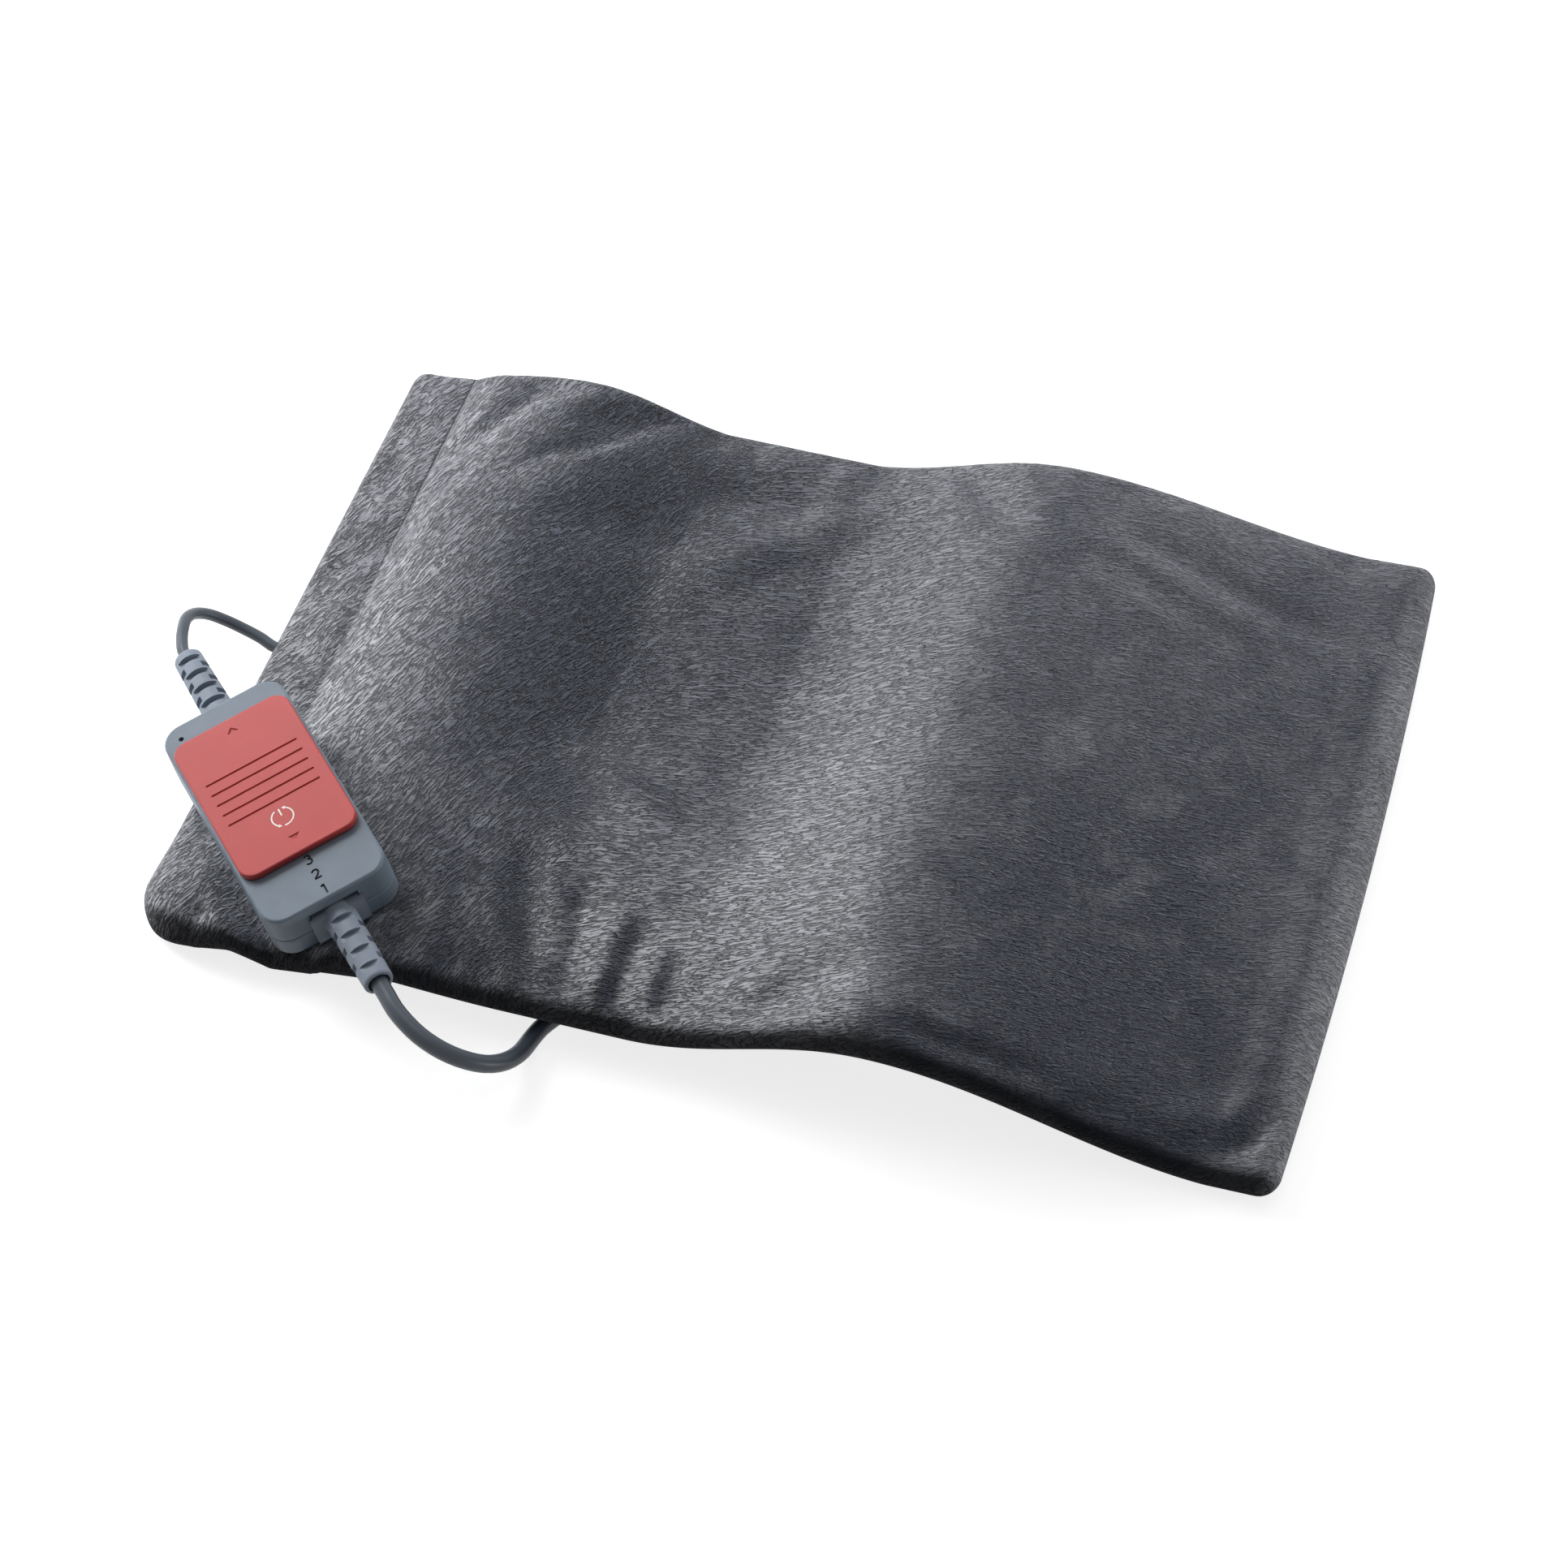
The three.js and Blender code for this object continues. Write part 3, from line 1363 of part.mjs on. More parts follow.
screwPlaces.forEach(([x, y], k) => {
  const piece = screw(housingScrewRadius, housingHeadRadius, housingHeadHeight, housingScrewLength, 12);
  const mesh = place(`housing_screw_${k + 1}`, piece, "steel");
  mesh.rotation.x = Math.PI;
  mesh.position.set(x, y, housingHeadHeight);
});

part.add(controller);

// The origin is the middle of the pad and controller, on the surface that they lie on
const cordNames = ["mains_cord", "mains_cord_coil", "mains_cord_tail"];
part.updateMatrixWorld(true);
const extent = new THREE.Box3();
part.traverse((mesh) => {
  const onCord = cordNames.includes(mesh.name) || mesh.name.startsWith("plug");
  if (mesh.isMesh && !onCord) extent.expandByObject(mesh, true);
});
const middle = extent.getCenter(new THREE.Vector3());
part.position.set(-middle.x, -middle.y, -extent.min.z);

export default part;
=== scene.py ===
# %% [markdown]
# A plush electric heating pad lies in soft waves on a pale surface.
# Its controller rests on the front left corner: a grey two-part housing with a red plate that slides.
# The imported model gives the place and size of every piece. This script models the fabric, the cords
# and the mouldings finely over it, and gives each of them its finish.

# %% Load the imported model
import math

import bmesh
import bpy
import numpy as np
from mathutils import Matrix, Vector
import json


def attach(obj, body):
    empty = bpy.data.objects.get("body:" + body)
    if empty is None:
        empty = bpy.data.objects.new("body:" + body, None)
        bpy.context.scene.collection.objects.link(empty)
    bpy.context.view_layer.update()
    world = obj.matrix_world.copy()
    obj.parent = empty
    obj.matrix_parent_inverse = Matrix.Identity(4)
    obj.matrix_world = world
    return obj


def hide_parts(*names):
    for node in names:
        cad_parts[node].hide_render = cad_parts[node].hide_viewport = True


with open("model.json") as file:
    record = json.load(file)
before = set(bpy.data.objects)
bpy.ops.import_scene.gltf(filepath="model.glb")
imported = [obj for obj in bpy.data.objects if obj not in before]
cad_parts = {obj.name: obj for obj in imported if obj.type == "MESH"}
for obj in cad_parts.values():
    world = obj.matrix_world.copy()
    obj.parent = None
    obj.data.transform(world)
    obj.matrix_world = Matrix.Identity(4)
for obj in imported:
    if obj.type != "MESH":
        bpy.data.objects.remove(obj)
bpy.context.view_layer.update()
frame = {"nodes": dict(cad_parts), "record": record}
MM = 0.001
PAD_MIDDLE = np.array([14.944, 9.598, 0.0])  # the pad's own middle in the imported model's frame, mm


def in_scene(name, data):
    """A new object that shows the data, linked into the scene."""
    made = bpy.data.objects.new(name, data)
    bpy.context.scene.collection.objects.link(made)
    return made


# %% [markdown]
# The photograph looks down on the pad from the front, a little from its right.
# A long lens keeps the far edge nearly as large as the near one, so the camera stands well back.
# Its place was found from the pad's four corners, so the model falls into the picture without fitting.

# %% Camera
CAMERA_AZIMUTH = math.radians(16.294)
CAMERA_ELEVATION = math.radians(47.917)
CAMERA_DISTANCE = 1655.887
CAMERA_TARGET = (-5.291, -16.781, 0.0)
CAMERA_LENS = 93.17


def in_row_frame(points):
    """Millimetres from the pad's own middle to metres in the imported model's frame."""
    return (np.asarray(points, float) + PAD_MIDDLE) * MM


camera_data = bpy.data.cameras.new("camera")
camera_data.lens = CAMERA_LENS
camera_data.sensor_width = 36.0
camera_data.clip_end = 20.0
camera = in_scene("camera", camera_data)
towards_camera = Vector((
    math.sin(CAMERA_AZIMUTH) * math.cos(CAMERA_ELEVATION),
    -math.cos(CAMERA_AZIMUTH) * math.cos(CAMERA_ELEVATION),
    math.sin(CAMERA_ELEVATION),
))
camera.location = Vector(in_row_frame(CAMERA_TARGET)) + towards_camera * CAMERA_DISTANCE * MM
camera.rotation_euler = (-towards_camera).to_track_quat("-Z", "Y").to_euler()
bpy.context.scene.camera = camera
bpy.context.scene.view_settings.view_transform = "Standard"
print("camera, m:", [round(v, 3) for v in camera.location])

# %% [markdown]
# A cord keeps its length and bends only gently, so each is one smooth line through a few known places.
# A Catmull-Rom curve passes through all of them and never jumps, which suits a stiff lead.
# The line is sampled closely, and Blender's curve bevel gives it its round section.
# Each point's radius is a thousandth, because Blender pads a curve's box by that radius.

# %% A smooth line and a round cord along it
def smooth_line(places, step):
    """Points about a step apart on the curve through all the places."""
    p = np.asarray(places, float)
    p = np.vstack([2 * p[0] - p[1], p, 2 * p[-1] - p[-2]])
    line = []
    for a, b, c, d in zip(p[:-3], p[1:-2], p[2:-1], p[3:]):
        ta = 0.0
        tb = ta + np.linalg.norm(b - a) ** 0.5
        tc = tb + np.linalg.norm(c - b) ** 0.5
        td = tc + np.linalg.norm(d - c) ** 0.5
        count = max(int(np.linalg.norm(c - b) / step), 1)
        for t in np.linspace(tb, tc, count, endpoint=False):
            ab = (tb - t) / (tb - ta) * a + (t - ta) / (tb - ta) * b
            bc = (tc - t) / (tc - tb) * b + (t - tb) / (tc - tb) * c
            cd = (td - t) / (td - tc) * c + (t - tc) / (td - tc) * d
            abc = (tc - t) / (tc - ta) * ab + (t - ta) / (tc - ta) * bc
            bcd = (td - t) / (td - tb) * bc + (t - tb) / (td - tb) * cd
            line.append((tc - t) / (tc - tb) * abc + (t - tb) / (tc - tb) * bcd)
    line.append(p[-2])
    return np.array(line)


def line_length(line):
    return float(np.linalg.norm(np.diff(line, axis=0), axis=1).sum())


def round_cord(name, line, diameter):
    """A curve object in metres whose bevel is the cord's round section."""
    data = bpy.data.curves.new(name, "CURVE")
    data.dimensions = "3D"
    data.bevel_depth = diameter / 2
    data.bevel_resolution = 5
    data.use_fill_caps = True
    spline = data.splines.new("POLY")
    spline.points.add(len(line) - 1)
    for point, place in zip(spline.points, in_row_frame(line)):
        point.co = (*place, 1.0)
        point.radius = MM
    spline.use_smooth = True
    return in_scene(name, data)


# %% [markdown]
# The controller has its own frame: x across it, y towards the pad lead and z up out of its top.
# It lies turned by 44 degrees and tilted by 12, because one long side has sunk into the plush.
# One matrix carries every piece of it to its place.

# %% The controller's own frame
HOUSING = {"length": 115.0, "width": 54.0, "height": 22.0, "corner": 9.5, "fillet": 1.3, "parting": 9.0}
CORD_AXIS = 10.5
RELIEF_LENGTH = 39.0
CONTROLLER_PLACE = np.array([-182.1, -114.1, 20.86])
CONTROLLER_TURN = math.radians(44)
CONTROLLER_TILT = math.radians(12.1)
controller_turned = Matrix.Rotation(CONTROLLER_TURN, 4, "Z") @ Matrix.Rotation(-CONTROLLER_TILT, 4, "Y")


def from_controller(x, y, z):
    """A place on the controller, in millimetres from the pad's middle."""
    return np.array(controller_turned @ Vector((x, y, z))) + CONTROLLER_PLACE


half_housing = HOUSING["length"] / 2
print("lamp end of the controller, mm:", from_controller(0, half_housing, HOUSING["height"]).round(1))

# %% [markdown]
# The mains lead leaves the controller, drops over the pad's front edge and runs under it to a coil.
# The photograph shows only its first 10 cm. The rest, up to the usual length of nearly 2 m,
# is wound as for storage under the main wave of the pad, with the plug behind it.

# %% The mains lead's line
MAINS_DIAMETER = 7.2
LEAD_DIAMETER = 5.0
CLEARANCE = 0.3
mains_exit = from_controller(0, -half_housing - RELIEF_LENGTH, CORD_AXIS)
mains_ahead = from_controller(0, -half_housing - RELIEF_LENGTH - MAINS_DIAMETER, CORD_AXIS)
mains_route = [
    (-106.7, -195.4, 31.1), (-100.9, -199.6, 30.2), (-94.4, -202.7, 28.2), (-87.9, -204.1, 25.6),
    (-81.8, -204.0, 22.6), (-75.9, -202.3, 19.0), (-70.7, -199.1, 15.0), (-66.4, -194.4, 11.3),
    (-63.4, -188.8, 8.3), (-61.6, -182.4, 5.8), (-60.6, -175.4, 4.3), (-58.9, -168.6, 3.9),
    (-55.8, -162.2, 3.6), (-51.8, -156.0, 3.6), (-41.7, -145.3, 3.6), (-29.9, -136.0, 3.6),
    (-17.6, -127.4, 3.6), (-5.4, -118.7, 3.6), (4.6, -110.6, 3.6), (13.2, -101.2, 3.6),
]
COIL_MIDDLE = (71.92, -95.0)
COIL_GAP = 0.5
COIL_PITCH = MAINS_DIAMETER + COIL_GAP
COIL_TURNS = 2.785  # on each of its two layers
COIL_CLIMB = 0.5  # turns from the lower layer to the upper one
COIL_ACROSS = 11.4 * MAINS_DIAMETER  # at the middle of its turns
COIL_START = COIL_ACROSS / 2 + (COIL_TURNS + COIL_CLIMB / 2) * COIL_PITCH / 2
COIL_ENTRY = math.radians(160)
COIL_POINTS = 147


def coil_point(turns):
    """In towards the middle on the lower layer, up in half a turn, and out again on top."""
    total = 2 * COIL_TURNS + COIL_CLIMB
    t = min(max((turns - COIL_TURNS) / COIL_CLIMB, 0.0), 1.0)
    radius = COIL_START - COIL_PITCH * min(turns, total - turns)
    angle = COIL_ENTRY - 2 * math.pi * turns
    return (
        COIL_MIDDLE[0] + radius * math.cos(angle),
        COIL_MIDDLE[1] + radius * math.sin(angle),
        MAINS_DIAMETER / 2 + COIL_PITCH * t * t * (3 - 2 * t),
    )


coil_places = [coil_point(t) for t in np.linspace(0, 2 * COIL_TURNS + COIL_CLIMB, COIL_POINTS)]
PLUG_PLACE = np.array([72.92, -6.68, 6.85])
tail_route = [(56.4, -36.6, 10.3), (64.8, -25.6, 8.8), (70.2, -14.6, 7.6)]
tail_end = [PLUG_PLACE - (0, MAINS_DIAMETER + CLEARANCE, 0), PLUG_PLACE - (0, CLEARANCE, 0)]
mains_places = [mains_exit, mains_ahead, *mains_route, *coil_places, *tail_route, *tail_end]
mains_line = smooth_line(mains_places, step=2.5)
print("mains lead, mm:", round(line_length(mains_line)))

# %% [markdown]
# The lead to the pad is thinner and softer. It leaves the other end of the controller,
# curls back in a small loop and goes into the mouth of the cover, where a block in the core holds it.

# %% The pad lead's line
lead_exit = from_controller(0, half_housing + RELIEF_LENGTH, CORD_AXIS)
lead_ahead = from_controller(0, half_housing + RELIEF_LENGTH + LEAD_DIAMETER, CORD_AXIS)
lead_route = [
    (-257.6, -35.8, 30.8), (-259.9, -28.6, 30.2), (-261.4, -21.9, 28.3), (-260.9, -15.2, 24.6),
    (-257.6, -9.7, 19.8), (-251.6, -6.6, 14.8), (-244.2, -5.6, 10.8), (-236.8, -6.2, 8.2),
]
lead_inside = [
    (-230.0, -8.0, 6.4), (-220.1, -8.0, 6.3), (-210.2, -8.0, 7.0), (-200.3, -8.0, 8.3), (-190.3, -8.0, 10.0),
]
lead_line = smooth_line([lead_exit, lead_ahead, *lead_route, *lead_inside], step=1.5)
print("pad lead, mm:", round(line_length(lead_line)))

# %% [markdown]
# Both cords are round curves of their real thickness along their lines, and take the place of the imported
# cords.
# The mains lead runs to the plug.
# The lead to the pad ends inside the cover and stays with the object.

# %% Cords
mains_lead = round_cord("mains_lead", mains_line, MAINS_DIAMETER)
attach(mains_lead, "root")
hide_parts("mains_cord", "mains_cord_coil", "mains_cord_tail")
pad_lead = round_cord("heat_lead", lead_line, LEAD_DIAMETER)
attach(pad_lead, "root")
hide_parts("pad_lead")

# %% [markdown]
# The pad is a plush cover over a thin quilted heating core. It lies in two waves,
# one over the coiled lead, with a stitched hem at its mouth and a plump corner where the cover is tucked.
# A sum of smooth humps gives the waves. Written as a height over the plan, it is easy to reshape.

# %% The pad's waves
PAD = {"length": 460.0, "width": 340.0, "half": 6.9, "hem_half": 5.0}
HALF_LENGTH = PAD["length"] / 2
HALF_WIDTH = PAD["width"] / 2
MAIN_CREST = 0.304 * HALF_LENGTH
LEFT_CREST = -0.62 * HALF_LENGTH
COIL_OUTER = COIL_START + MAINS_DIAMETER / 2
MAIN_REACH = (COIL_OUTER + 38, COIL_OUTER + 88)  # towards the mouth and towards the far end
LEFT_REACH = (88, 68)
MAIN_RISE, MAIN_FALL = 30.4, 9.0  # height at the front edge, and how much less at the back
LEFT_RISE, LEFT_GAIN = 11.5, 3.0  # height at the front edge, and how much more at the back
TUNNEL_RISE = 8.9  # the front edge between the waves, where the mains lead goes under
PRESSED_DOWN = 0.5


def ease(value):
    t = np.clip(value, 0, 1)
    return t * t * (3 - 2 * t)


def hump(offset, left_reach, right_reach):
    t = np.minimum(np.abs(offset) / np.where(offset < 0, left_reach, right_reach), 1)
    return (1 + np.cos(np.pi * t)) / 2


def free_lift(x, y):
    """Height of the underside over the surface."""
    back = (y + HALF_WIDTH) / PAD["width"]
    main = hump(x - MAIN_CREST, *MAIN_REACH)
    left = hump(x - LEFT_CREST, *LEFT_REACH)
    between = np.where((x > LEFT_CREST) & (x < MAIN_CREST), (1 - main) * (1 - left), 0)
    tunnel = ease((0.45 - back) / 0.25)
    rise = (MAIN_RISE - MAIN_FALL * back) * main + (LEFT_RISE + LEFT_GAIN * back) * left
    return np.maximum(rise + TUNNEL_RISE * tunnel * between - PRESSED_DOWN, 0)


# %% [markdown]
# A filled cover is thick in the middle and thin where it is sewn.
# The hem at the mouth has no filling, so it is flatter, and the tucked front corner bulges.
# Under the controller the plush gives way: a sloped plane limits how high the pad may reach there.

# %% The pad's thickness
HEM_STITCH = 29.0  # from the mouth
TUCK_RISE, TUCK_INSET, TUCK_REACH = 4.5, 18.0, 17.0
SEAT_SLOPE = 0.75
SEAT_ROOM = 2.0
RELIEF_ROOM = {"half": 13.0, "past": 3.0, "under": 8.7}


def free_half(x, y):
    """Half of the thickness: thin in the hem, drawn in at its stitches, plump in the tucked corner."""
    from_end = x + HALF_LENGTH
    filled = ease((from_end - 26) / 18)
    stitch = np.maximum(1 - np.abs(from_end - HEM_STITCH) / 3, 0)
    from_tuck = (from_end - TUCK_INSET) ** 2 + (y + HALF_WIDTH - TUCK_INSET) ** 2
    plump = TUCK_RISE * np.exp(-from_tuck / (2 * TUCK_REACH ** 2))
    return PAD["hem_half"] + (PAD["half"] - PAD["hem_half"]) * filled - 0.5 * stitch + plump


def seat_limit(x, y):
    """The highest place that the pad may reach under the controller and its strain reliefs."""
    dx = x - CONTROLLER_PLACE[0]
    dy = y - CONTROLLER_PLACE[1]
    across = dx * math.cos(CONTROLLER_TURN) + dy * math.sin(CONTROLLER_TURN)
    along = dy * math.cos(CONTROLLER_TURN) - dx * math.sin(CONTROLLER_TURN)
    plane = CONTROLLER_PLACE[2] + across * math.tan(CONTROLLER_TILT) - CLEARANCE
    beside = np.maximum(np.abs(across) - HOUSING["width"] / 2 - SEAT_ROOM, 0)
    past = np.maximum(np.abs(along) - half_housing - SEAT_ROOM, 0)
    relief_beside = np.maximum(np.abs(across) - RELIEF_ROOM["half"], 0)
    relief_past = np.maximum(np.abs(along) - half_housing - RELIEF_LENGTH - RELIEF_ROOM["past"], 0)
    under_housing = plane + SEAT_SLOPE * np.hypot(beside, past)
    relief_plane = plane + CORD_AXIS - RELIEF_ROOM["under"]
    under_relief = relief_plane + SEAT_SLOPE * np.hypot(relief_beside, relief_past)
    return np.minimum(under_housing, under_relief)


def pad_at(x, y):
    """Middle surface and half thickness, pressed down where the controller lies."""
    limit = seat_limit(x, y)
    half = np.minimum(free_half(x, y), limit / 2)
    lift = np.maximum(np.minimum(free_lift(x, y), limit - 2 * half), 0)
    return lift + half, half


sample = pad_at(np.array([0.0, MAIN_CREST]), np.array([0.0, -HALF_WIDTH]))
print("middle surface, centre and front crest, mm:", sample[0].round(1))

# %% [markdown]
# Seen from above, the pad is a rectangle with rounded corners, and its edges bow a little.
# The back edge draws in and the far end bulges, as on fabric that is pulled over a stiff core.
# The plan is bent as a whole, so the grid of the mesh follows it.

# %% The pad's plan
CORNER_RADIUS = 9.0
TUCKED_RADIUS = 24.0
BOW = {"back": 4.5, "front": 1.5, "end": 4.0}  # back and front edge draw in, the far end bulges


def in_plan(x, y):
    """Rounds the corners and bows the edges of the rectangle."""
    radius = np.where((x < 0) & (y < 0), TUCKED_RADIUS, CORNER_RADIUS)
    a = np.clip((np.abs(x) - (HALF_LENGTH - radius)) / radius, 0, 1)
    b = np.clip((np.abs(y) - (HALF_WIDTH - radius)) / radius, 0, 1)
    corner = (a > 0) & (b > 0)
    plan_x = np.where(corner, np.sign(x) * (HALF_LENGTH - radius + radius * a * np.sqrt(1 - b * b / 2)), x)
    plan_y = np.where(corner, np.sign(y) * (HALF_WIDTH - radius + radius * b * np.sqrt(1 - a * a / 2)), y)
    along = 1 - (x / HALF_LENGTH) ** 2
    across = 1 - (y / HALF_WIDTH) ** 2
    back = (y + HALF_WIDTH) / PAD["width"]
    end = (x + HALF_LENGTH) / PAD["length"]
    plan_y = plan_y - BOW["back"] * along * back ** 3 - BOW["front"] * along * (1 - back) ** 3
    plan_x = plan_x + BOW["end"] * across * end ** 3
    return plan_x, plan_y


# %% [markdown]
# The fine form is one closed mesh over a dense grid: a top and a bottom sheet that meet in the seam.
# Near the seam the grid lines follow a quarter circle, so that the edge is round like a filled one.
# The same grid later carries the folds and the swelling.

# %% The plush cover's grid
GRID_PITCH = 2.0
EDGE_STEPS = 7


def grid_lines(half_size, pitch=GRID_PITCH):
    """Lines from edge to edge, closer where the edge turns over."""
    edge = PAD["half"] * (1 - np.cos(np.linspace(0, np.pi / 2, EDGE_STEPS + 1)))[:-1]
    inner = np.linspace(-half_size + PAD["half"], half_size - PAD["half"], int(2 * half_size / pitch))
    return np.concatenate([-half_size + edge, inner, half_size - edge[::-1]])


def quarter_round(distance, radius):
    t = np.clip(1 - distance / radius, 0, 1)
    return np.sqrt(1 - t * t)


def cover_surfaces(x, y):
    middle, half = pad_at(x, y)
    rise = half * quarter_round(HALF_LENGTH - np.abs(x), half) * quarter_round(HALF_WIDTH - np.abs(y), half)
    return middle, rise


# %% [markdown]
# The mesh is made once as a plain function of its grid lines, because two versions are needed:
# a coarse one for the simulation and a fine one to show. Both sheets use the same outer points,
# so the result is closed and has no loose edge.

# %% Two sheets that share their outer line
def closed_sheets(name, columns, rows, surfaces):
    """One closed mesh from an upper and a lower sheet that share their outer line."""
    gx, gy = np.meshgrid(columns, rows, indexing="ij")
    plan_x, plan_y = in_plan(gx, gy)
    upper, lower = surfaces(gx, gy)
    nx, ny = gx.shape
    top = np.stack([plan_x, plan_y, upper], -1).reshape(-1, 3)
    bottom = np.stack([plan_x, plan_y, lower], -1).reshape(-1, 3)
    ids = np.arange(nx * ny).reshape(nx, ny)
    edge = np.ones((nx, ny), bool)
    edge[1:-1, 1:-1] = False
    lower_ids = np.where(edge, ids, 0)
    lower_ids[~edge] = nx * ny + np.arange((~edge).sum())
    verts = np.vstack([top, bottom[~edge.reshape(-1)]])

    def quads(i, flip):
        q = np.stack([i[:-1, :-1], i[1:, :-1], i[1:, 1:], i[:-1, 1:]], -1).reshape(-1, 4)
        return q[:, ::-1] if flip else q

    faces = np.vstack([quads(ids, False), quads(lower_ids, True)])
    mesh = bpy.data.meshes.new(name)
    mesh.from_pydata(in_row_frame(verts).tolist(), [], faces.tolist())
    mesh.polygons.foreach_set("use_smooth", np.ones(len(faces), bool))
    mesh.update()
    return in_scene(name, mesh)


def smooth_surfaces(x, y):
    middle, rise = cover_surfaces(x, y)
    return middle + rise, np.maximum(middle - rise, 0.0)


# %% [markdown]
# Real fabric is never as smooth as a formula. The cover is cut a little larger than the pad inside it,
# so it swells between its seams and buckles in soft folds. Blender's Cloth finds these folds
# on a coarse copy: the seams, the hem's stitches, the underside and the place under the controller
# are held, the fabric gets 2.5 percent more length, and a light pressure fills it while gravity is off.
# Only the height that each point gained is kept, with a cap, and laid over the fine grid.

# %% Let the cover swell
SWELL_PITCH = 5.0
SWELL_CAP = 3.2
SWELL_FRAMES = 20


def held_share(x, y):
    """1 where the fabric can't move, 0 where it is free."""
    to_edge = np.minimum(HALF_LENGTH - np.abs(x), HALF_WIDTH - np.abs(y))
    at_stitch = np.abs(x + HALF_LENGTH - HEM_STITCH)
    pressed = free_lift(x, y) + 2 * free_half(x, y) - seat_limit(x, y)
    return np.maximum.reduce([1 - ease(to_edge / 9), 1 - ease((at_stitch - 1) / 4), ease((pressed + 8) / 8)])


def swell():
    """Heights gained by the upper sheet, with the grid lines that they belong to."""
    columns, rows = grid_lines(HALF_LENGTH, SWELL_PITCH), grid_lines(HALF_WIDTH, SWELL_PITCH)
    gx, gy = np.meshgrid(columns, rows, indexing="ij")
    piece = closed_sheets("cover_to_swell", columns, rows, smooth_surfaces)
    before = np.empty(3 * len(piece.data.vertices))
    piece.data.vertices.foreach_get("co", before)
    held = held_share(gx, gy).reshape(-1)
    group = piece.vertex_groups.new(name="held")
    for index in range(len(piece.data.vertices)):
        group.add([index], float(held[index]) if index < len(held) else 1.0, "REPLACE")
    cloth = piece.modifiers.new("swell", "CLOTH")
    cloth.settings.quality = 6
    cloth.settings.mass = 0.25
    cloth.settings.tension_stiffness = 12
    cloth.settings.compression_stiffness = 12
    cloth.settings.shear_stiffness = 4
    cloth.settings.bending_stiffness = 0.35
    cloth.settings.shrink_min = -0.025
    cloth.settings.vertex_group_mass = "held"
    cloth.settings.use_pressure = True
    cloth.settings.uniform_pressure_force = 4
    cloth.settings.effector_weights.gravity = 0
    scene = bpy.context.scene
    for number in range(1, SWELL_FRAMES + 1):
        scene.frame_set(number)
    settled = piece.evaluated_get(bpy.context.evaluated_depsgraph_get()).to_mesh()
    after = np.empty_like(before)
    settled.vertices.foreach_get("co", after)
    scene.frame_set(1)
    bpy.data.objects.remove(piece)
    gained = ((after - before).reshape(-1, 3)[:gx.size, 2] / MM).reshape(gx.shape)
    return columns, rows, SWELL_CAP * np.tanh(gained / SWELL_CAP) * (1 - held.reshape(gx.shape))


def laid_over(columns, rows, heights, x, y):
    """Heights between the coarse lines, smoothed so that no line shows."""
    across = np.stack([np.interp(x[:, 0], columns, heights[:, j]) for j in range(len(rows))], 1)
    fine = np.stack([np.interp(y[0], rows, across[i]) for i in range(len(across))], 0)
    for _ in range(3):
        fine[1:-1] = (fine[:-2] + 2 * fine[1:-1] + fine[2:]) / 4
        fine[:, 1:-1] = (fine[:, :-2] + 2 * fine[:, 1:-1] + fine[:, 2:]) / 4
    return fine


swollen = swell()
if swollen:
    print("cover gained, mm:", swollen[2].min().round(2), "to", swollen[2].max().round(2))

# %% [markdown]
# Some folds have a known place: the pucker where the front edge is gathered, two hollows
# behind the left wave, and long shallow folds over the far side.
# Each is a short line with a width and a height, and fades out at its ends.

# %% Folds with a known place
FOLDS = [  # from, to, half width, height
    ((-132, 78), (-98, 92), 17, -2.4), ((-80, 124), (-36, 130), 12, -2.6),
    ((-86, -36), (-44, -63), 9, 2.0), ((-13, 126), (-70, 73), 14, 1.8),
    ((-96, -112), (-82, -152), 8, 0.9), ((-84, -104), (-66, -156), 7, -1.7),
    ((-58, -116), (-49, -157), 6, -1.2), ((-30, -130), (-30, -160), 6, -1.3),
    ((-20, -134), (-19, -158), 5, 0.8), ((12, -136), (-8, -160), 5, -0.9),
    ((-40, -122), (-39, -156), 6, 0.8), ((-203, -162), (-192, -150), 3.5, -2.2),
    ((-214, -150), (-200, -140), 4, -1.8), ((92, 122), (150, 103), 8, 1.8),
    ((96, 98), (132, 84), 8, 1.5), ((118, 128), (188, 112), 8, -1.8),
    ((190, -156), (208, -140), 7, 0.5), ((188, -140), (208, -120), 7, -0.5),
]


def folds(x, y):
    rise = np.zeros_like(x)
    for start, end, half_width, height in FOLDS:
        start, end = np.array(start, float), np.array(end, float)
        length = np.linalg.norm(end - start)
        ahead = (end - start) / length
        along = ((x - start[0]) * ahead[0] + (y - start[1]) * ahead[1]) / length
        aside = (x - start[0]) * -ahead[1] + (y - start[1]) * ahead[0]
        fade = ease((along + 0.35) / 0.5) * ease((1.35 - along) / 0.5)
        rise += height * fade * np.exp(-((aside / half_width) ** 2))
    to_edge = np.minimum(HALF_LENGTH - np.abs(x), HALF_WIDTH - np.abs(y))
    return rise * ease((to_edge - 2) / 10) * (1 - held_share(x, y) * (to_edge > 9))


# %% [markdown]
# The fine cover adds all layers up: the waves, the thickness, the folds and the swelling.
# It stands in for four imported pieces: two layers of cover and two of felt.

# %% The plush cover
def plush_surfaces(x, y):
    upper, lower = smooth_surfaces(x, y)
    upper = upper + folds(x, y)
    if swollen:
        upper = upper + laid_over(*swollen, x, y)
    return upper, lower


plush_cover = closed_sheets("plush_cover", grid_lines(HALF_LENGTH), grid_lines(HALF_WIDTH), plush_surfaces)
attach(plush_cover, "root")
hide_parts("pad_cover_upper", "pad_cover_lower", "core_felt_upper", "core_felt_lower")
print("plush cover:", len(plush_cover.data.vertices), "points")

